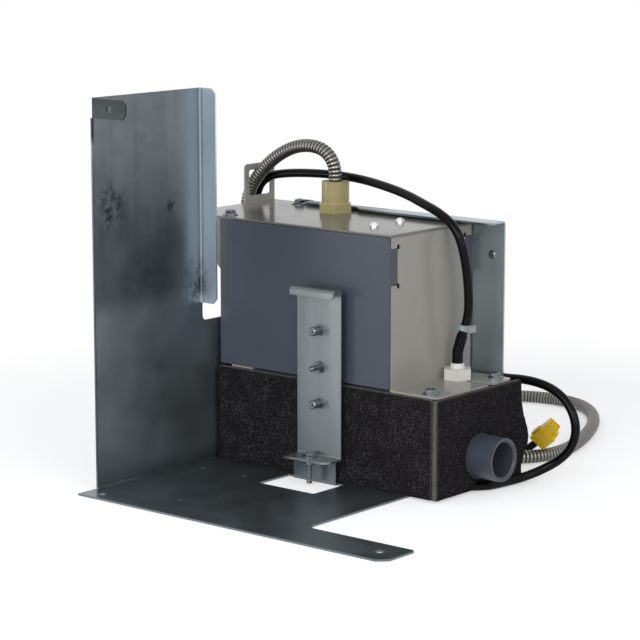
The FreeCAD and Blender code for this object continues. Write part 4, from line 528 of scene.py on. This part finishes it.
def add_route(name, route, radius=0.0):
    """A smooth open spline on the route's points."""
    data = bpy.data.curves.new(name, "CURVE")
    data.dimensions = "3D"
    data.resolution_u = 10
    data.bevel_depth = radius * MM
    data.bevel_resolution = 6
    data.use_fill_caps = True
    spline = data.splines.new("NURBS")
    spline.points.add(len(route) - 1)
    for point, at in zip(spline.points, route):
        point.co = (*place(at), 1.0)
    spline.order_u = 3
    spline.use_endpoint_u = True
    piece = bpy.data.objects.new(name, data)
    bpy.context.collection.objects.link(piece)
    return piece


def route_line(route, step):
    """Points at even steps along the smooth spline through a route."""
    guide = add_route("guide", route)
    mesh = bpy.data.meshes.new_from_object(guide.evaluated_get(bpy.context.evaluated_depsgraph_get()))
    line = [v.co.copy() for v in mesh.vertices]
    bpy.data.meshes.remove(mesh)
    bpy.data.objects.remove(guide)
    total = sum((b - a).length for a, b in zip(line, line[1:]))
    count = round(total / step)
    even = [line[0]]
    gone = 0.0
    for a, b in zip(line, line[1:]):
        run = (b - a).length
        while len(even) < count and gone + run >= total * len(even) / count:
            share = (total * len(even) / count - gone) / run
            even.append(a.lerp(b, share))
        gone += run
    even.append(line[-1])
    return even, total


def ring_frames(line):
    """A direction and two cross directions at each point, without twist."""
    frames = []
    side = None
    for i, point in enumerate(line):
        ahead = (line[min(i + 1, len(line) - 1)] - line[max(i - 1, 0)]).normalized()
        if side is None:
            side = ahead.orthogonal().normalized()
        side = (side - ahead * side.dot(ahead)).normalized()
        frames.append((point, side, ahead.cross(side)))
    return frames


def ringed_tube(name, route, material):
    """The steel conduit: a strip wound in close turns, each turn a round bead with a narrow groove."""
    around = TUBE_CORNERS
    line, total = route_line(route, CONDUIT_PITCH * MM / TURN_STEPS)
    frames = ring_frames(line)
    verts = []
    faces = []
    groove_shade = []
    for i, (point, side, up) in enumerate(frames):
        turn = (i / TURN_STEPS) % 1.0
        bead = math.sqrt(max(0.0, 1 - (2 * turn - 1) ** 2))
        radius = (CONDUIT_R - CONDUIT_GROOVE * (1 - bead)) * MM
        # painted shade: how dark each ring is, most in the groove and none on the bead's top
        groove_shade.extend([(1 - math.sin(math.pi * turn)) ** 0.5] * around)
        for j in range(around):
            angle = 2 * math.pi * j / around
            verts.append(point + (side * math.cos(angle) + up * math.sin(angle)) * radius)
    for i in range(len(frames) - 1):
        for j in range(around):
            k = (j + 1) % around
            a, b = i * around, (i + 1) * around
            faces.append((a + j, a + k, b + k, b + j))
    faces.append(tuple(reversed(range(around))))
    faces.append(tuple(range((len(frames) - 1) * around, len(frames) * around)))
    piece = add_mesh(name, verts, faces, material)
    piece.data.attributes.new("groove", "FLOAT", "POINT").data.foreach_set("value", groove_shade)
    return piece, line, total


def add_cables(materials):
    conduit, line, total = ringed_tube("conduit_strip", CONDUIT_ROUTE, materials["conduit_steel"])
    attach(conduit, "base")
    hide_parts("conduit")

    cord = add_route("cord_jacket", CORD_ROUTE, CORD_R)
    cord.data.materials.append(materials["cord_rubber"])
    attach(cord, "base")
    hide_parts("black_cord")
    length = route_line(CORD_ROUTE, 1 * MM)[1]

    lead = add_route("lead_jacket", LEAD_ROUTE, LEAD_R)
    lead.data.materials.append(materials["lead_rubber"])
    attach(lead, "base")
    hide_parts("plug_lead")
    length = route_line(LEAD_ROUTE, 1 * MM)[1]


# Foam wrap

def foam_piece(node, materials, pull, skin):
    """A cut foam sheet: the solid's form with softened edges, an uneven skin and marked cut edges."""
    solid = frame["nodes"][node]
    piece = bpy.data.objects.new(node + "_sheet", solid.data.copy())
    bpy.context.collection.objects.link(piece)
    remesh = piece.modifiers.new("remesh", "REMESH")
    remesh.mode = "VOXEL"
    remesh.voxel_size = FOAM_VOXEL
    smooth = piece.modifiers.new("smooth", "SMOOTH")
    smooth.factor = 0.5
    smooth.iterations = 3
    evaluated = piece.evaluated_get(bpy.context.evaluated_depsgraph_get())
    mesh = bpy.data.meshes.new_from_object(evaluated)
    piece.modifiers.clear()
    piece.data = mesh
    mesh.materials.clear()
    mesh.materials.append(materials["foam"])
    mesh.polygons.foreach_set("use_smooth", [True] * len(mesh.polygons))
    cut = mesh.attributes.new("cut", "FLOAT", "POINT")
    for vertex in mesh.vertices:
        flat = 1.0 if skin is None else abs(vertex.normal[skin])
        cut.data[vertex.index].value = min(1.0, max(0.0, (CUT_BELOW - flat) / CUT_SOFT))
    for vertex in mesh.vertices:
        vertex.co += pull(vertex.co, vertex.normal)
    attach(piece, "base")
    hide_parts(node)
    return piece


def skin_wave(co):
    """A slow and a quicker wave of the foam's skin."""
    return noise.noise(co * FOAM_WAVE) * 0.6 + noise.noise(co * FOAM_WAVE * 4) * 0.3


def pull_front(co, normal):
    """The front sheet, whose skin swells a little."""
    out = max(0.0, -normal.y)
    return Vector((0, -out * FOAM_SWELL * (0.4 + skin_wave(co)), 0))


def pull_right(co, normal):
    """The end sheet, whose rear edge curls out a little."""
    out = max(0.0, normal.x)
    rear = max(0.0, (co.y - place((0, CURL_FROM, 0)).y) / CURL_OVER)
    level = (co.z - CURL_MIDDLE) / CURL_HEIGHT
    curl = rear * rear * max(0.0, 1 - level * level) * CURL_OUT
    return Vector((out * FOAM_SWELL * (0.4 + skin_wave(co)) + curl, 0, 0))


def pull_lining(co, normal):
    """The hidden sheets stay flat."""
    return Vector((0, 0, 0))


def add_foam(materials):
    foam_piece("foam_front", materials, pull_front, 1)
    foam_piece("foam_right", materials, pull_right, 0)
    foam_piece("foam_lining", materials, pull_lining, None)


# Clamp screw

def add_clamp_screw(materials):
    """The flange head screw with its real thread."""
    low, high = (Vector(v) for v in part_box("clamp_screw"))
    x, y = (low.x + high.x) / 2, (low.y + high.y) / 2
    seat = place((0, 0, SCREW_SEAT)).z
    around = THREAD_CORNERS
    turns = int((seat - low.z) / THREAD_PITCH)
    verts = []
    faces = []
    rows = turns * THREAD_STEPS + 1
    for i in range(rows):
        z = low.z + (seat - low.z) * i / (rows - 1)
        for j in range(around):
            angle = 2 * math.pi * j / around
            turn = (i / THREAD_STEPS + j / around) % 1.0
            radius = THREAD_R - THREAD_DEPTH * abs(turn * 2 - 1)
            verts.append((x + radius * math.cos(angle), y + radius * math.sin(angle), z))
    for i in range(rows - 1):
        for j in range(around):
            k = (j + 1) % around
            a, b = i * around, (i + 1) * around
            faces.append((a + j, a + k, b + k, b + j))
    faces.append(tuple(reversed(range(around))))
    base = len(verts)
    profile = [(THREAD_R, seat), (FLANGE_R, seat), (FLANGE_R, seat + 0.6 * MM), (NECK_R, seat + 1.5 * MM)]
    for radius, z in profile:
        for j in range(HEAD_CORNERS):
            angle = 2 * math.pi * j / HEAD_CORNERS
            verts.append((x + radius * math.cos(angle), y + radius * math.sin(angle), z))
    for share, above in HEAD_RINGS:
        z = seat + above * MM
        for j in range(HEAD_CORNERS):
            angle = 2 * math.pi * j / HEAD_CORNERS
            sector = (angle + math.radians(15)) % (math.pi / 3) - math.pi / 6
            across = HEX_HALF / math.cos(sector) if share > 0.9 else DISH_R
            radius = min(across, HEX_CORNER) * max(share, 0.001)
            verts.append((x + radius * math.cos(angle), y + radius * math.sin(angle), z))
    for row in range(len(profile) + len(HEAD_RINGS) - 1):
        for j in range(HEAD_CORNERS):
            k = (j + 1) % HEAD_CORNERS
            a, b = base + row * HEAD_CORNERS, base + (row + 1) * HEAD_CORNERS
            faces.append((a + j, a + k, b + k, b + j))
    piece = add_mesh("threaded_screw", verts, faces, materials["screw_zinc"], smooth=False)
    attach(piece, "base")
    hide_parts("clamp_screw")


# Stage

def seen_background(tree):
    """One for the rays that show the background: from the camera, by reflection and through glass."""
    path = tree.nodes.new("ShaderNodeLightPath")
    found = path.outputs["Is Camera Ray"]
    for name in ("Is Glossy Ray", "Is Transmission Ray"):
        larger = tree.nodes.new("ShaderNodeMath")
        larger.operation = "MAXIMUM"
        tree.links.new(found, larger.inputs[0])
        tree.links.new(path.outputs[name], larger.inputs[1])
        found = larger.outputs[0]
    return found


def add_floor():
    """A pale floor that keeps the shadow near the object and is plain white farther out."""
    mesh = bpy.data.meshes.new("floor")
    reach = FLOOR_REACH
    corners = [(-reach, -reach, 0), (reach, -reach, 0), (reach, reach, 0), (-reach, reach, 0)]
    mesh.from_pydata(corners, [], [(0, 1, 2, 3)])
    floor = bpy.data.objects.new("floor", mesh)
    floor.location = FLOOR_AT
    bpy.context.collection.objects.link(floor)
    material = bpy.data.materials.new("pale_floor")
    material.use_nodes = True
    tree = material.node_tree
    tree.nodes.clear()
    diffuse = tree.nodes.new("ShaderNodeBsdfDiffuse")
    diffuse.inputs["Color"].default_value = (*FLOOR_COLOUR, 1)
    lift = tree.nodes.new("ShaderNodeEmission")
    lift.inputs["Strength"].default_value = FLOOR_LIFT
    near = tree.nodes.new("ShaderNodeAddShader")
    tree.links.new(diffuse.outputs[0], near.inputs[0])
    tree.links.new(lift.outputs[0], near.inputs[1])
    white = tree.nodes.new("ShaderNodeEmission")
    where = tree.nodes.new("ShaderNodeTexCoord")
    away = tree.nodes.new("ShaderNodeVectorMath")
    away.operation = "LENGTH"
    tree.links.new(where.outputs["Object"], away.inputs[0])
    fade = tree.nodes.new("ShaderNodeMapRange")
    fade.inputs["From Min"].default_value = WHITE_FROM
    fade.inputs["From Max"].default_value = WHITE_TO
    tree.links.new(away.outputs["Value"], fade.inputs["Value"])
    ground = tree.nodes.new("ShaderNodeMixShader")
    tree.links.new(fade.outputs["Result"], ground.inputs[0])
    tree.links.new(near.outputs[0], ground.inputs[1])
    tree.links.new(white.outputs[0], ground.inputs[2])
    seen = tree.nodes.new("ShaderNodeMixShader")
    out = tree.nodes.new("ShaderNodeOutputMaterial")
    tree.links.new(seen_background(tree), seen.inputs[0])
    tree.links.new(diffuse.outputs[0], seen.inputs[1])
    tree.links.new(ground.outputs[0], seen.inputs[2])
    tree.links.new(seen.outputs[0], out.inputs["Surface"])
    mesh.materials.append(material)


def add_world():
    """A soft sky that lights the object, seen as plain white."""
    world = bpy.data.worlds.new("studio")
    bpy.context.scene.world = world
    world.use_nodes = True
    tree = world.node_tree
    tree.nodes.clear()
    plain = tree.nodes.new("ShaderNodeBackground")
    plain.inputs["Color"].default_value = (*SKY_COLOUR, 1)
    plain.inputs["Strength"].default_value = SKY_STRENGTH
    white = tree.nodes.new("ShaderNodeBackground")
    white.inputs["Color"].default_value = (1, 1, 1, 1)
    white.inputs["Strength"].default_value = 1.0
    mix = tree.nodes.new("ShaderNodeMixShader")
    out = tree.nodes.new("ShaderNodeOutputWorld")
    tree.links.new(seen_background(tree), mix.inputs[0])
    tree.links.new(plain.outputs[0], mix.inputs[1])
    tree.links.new(white.outputs[0], mix.inputs[2])
    tree.links.new(mix.outputs[0], out.inputs["Surface"])


def add_lamp(name, at, size, watts):
    data = bpy.data.lights.new(name, "AREA")
    data.shape = "RECTANGLE"
    data.size, data.size_y = size
    data.energy = watts
    lamp = bpy.data.objects.new(name, data)
    lamp.location = place(at)
    target = place(LAMPS_LOOK_AT)
    lamp.rotation_mode = "QUATERNION"
    lamp.rotation_quaternion = (target - lamp.location).to_track_quat("-Z", "Y")
    bpy.context.collection.objects.link(lamp)


def add_lamps():
    for name, (at, size, watts) in LAMPS.items():
        add_lamp(name, at, size, watts)


def main():
    scene = bpy.context.scene
    scene.view_settings.view_transform = "Standard"
    add_camera()
    materials = make_materials()
    dress_solids(materials)
    add_cables(materials)
    add_foam(materials)
    add_clamp_screw(materials)
    add_floor()
    add_world()
    add_lamps()


main()
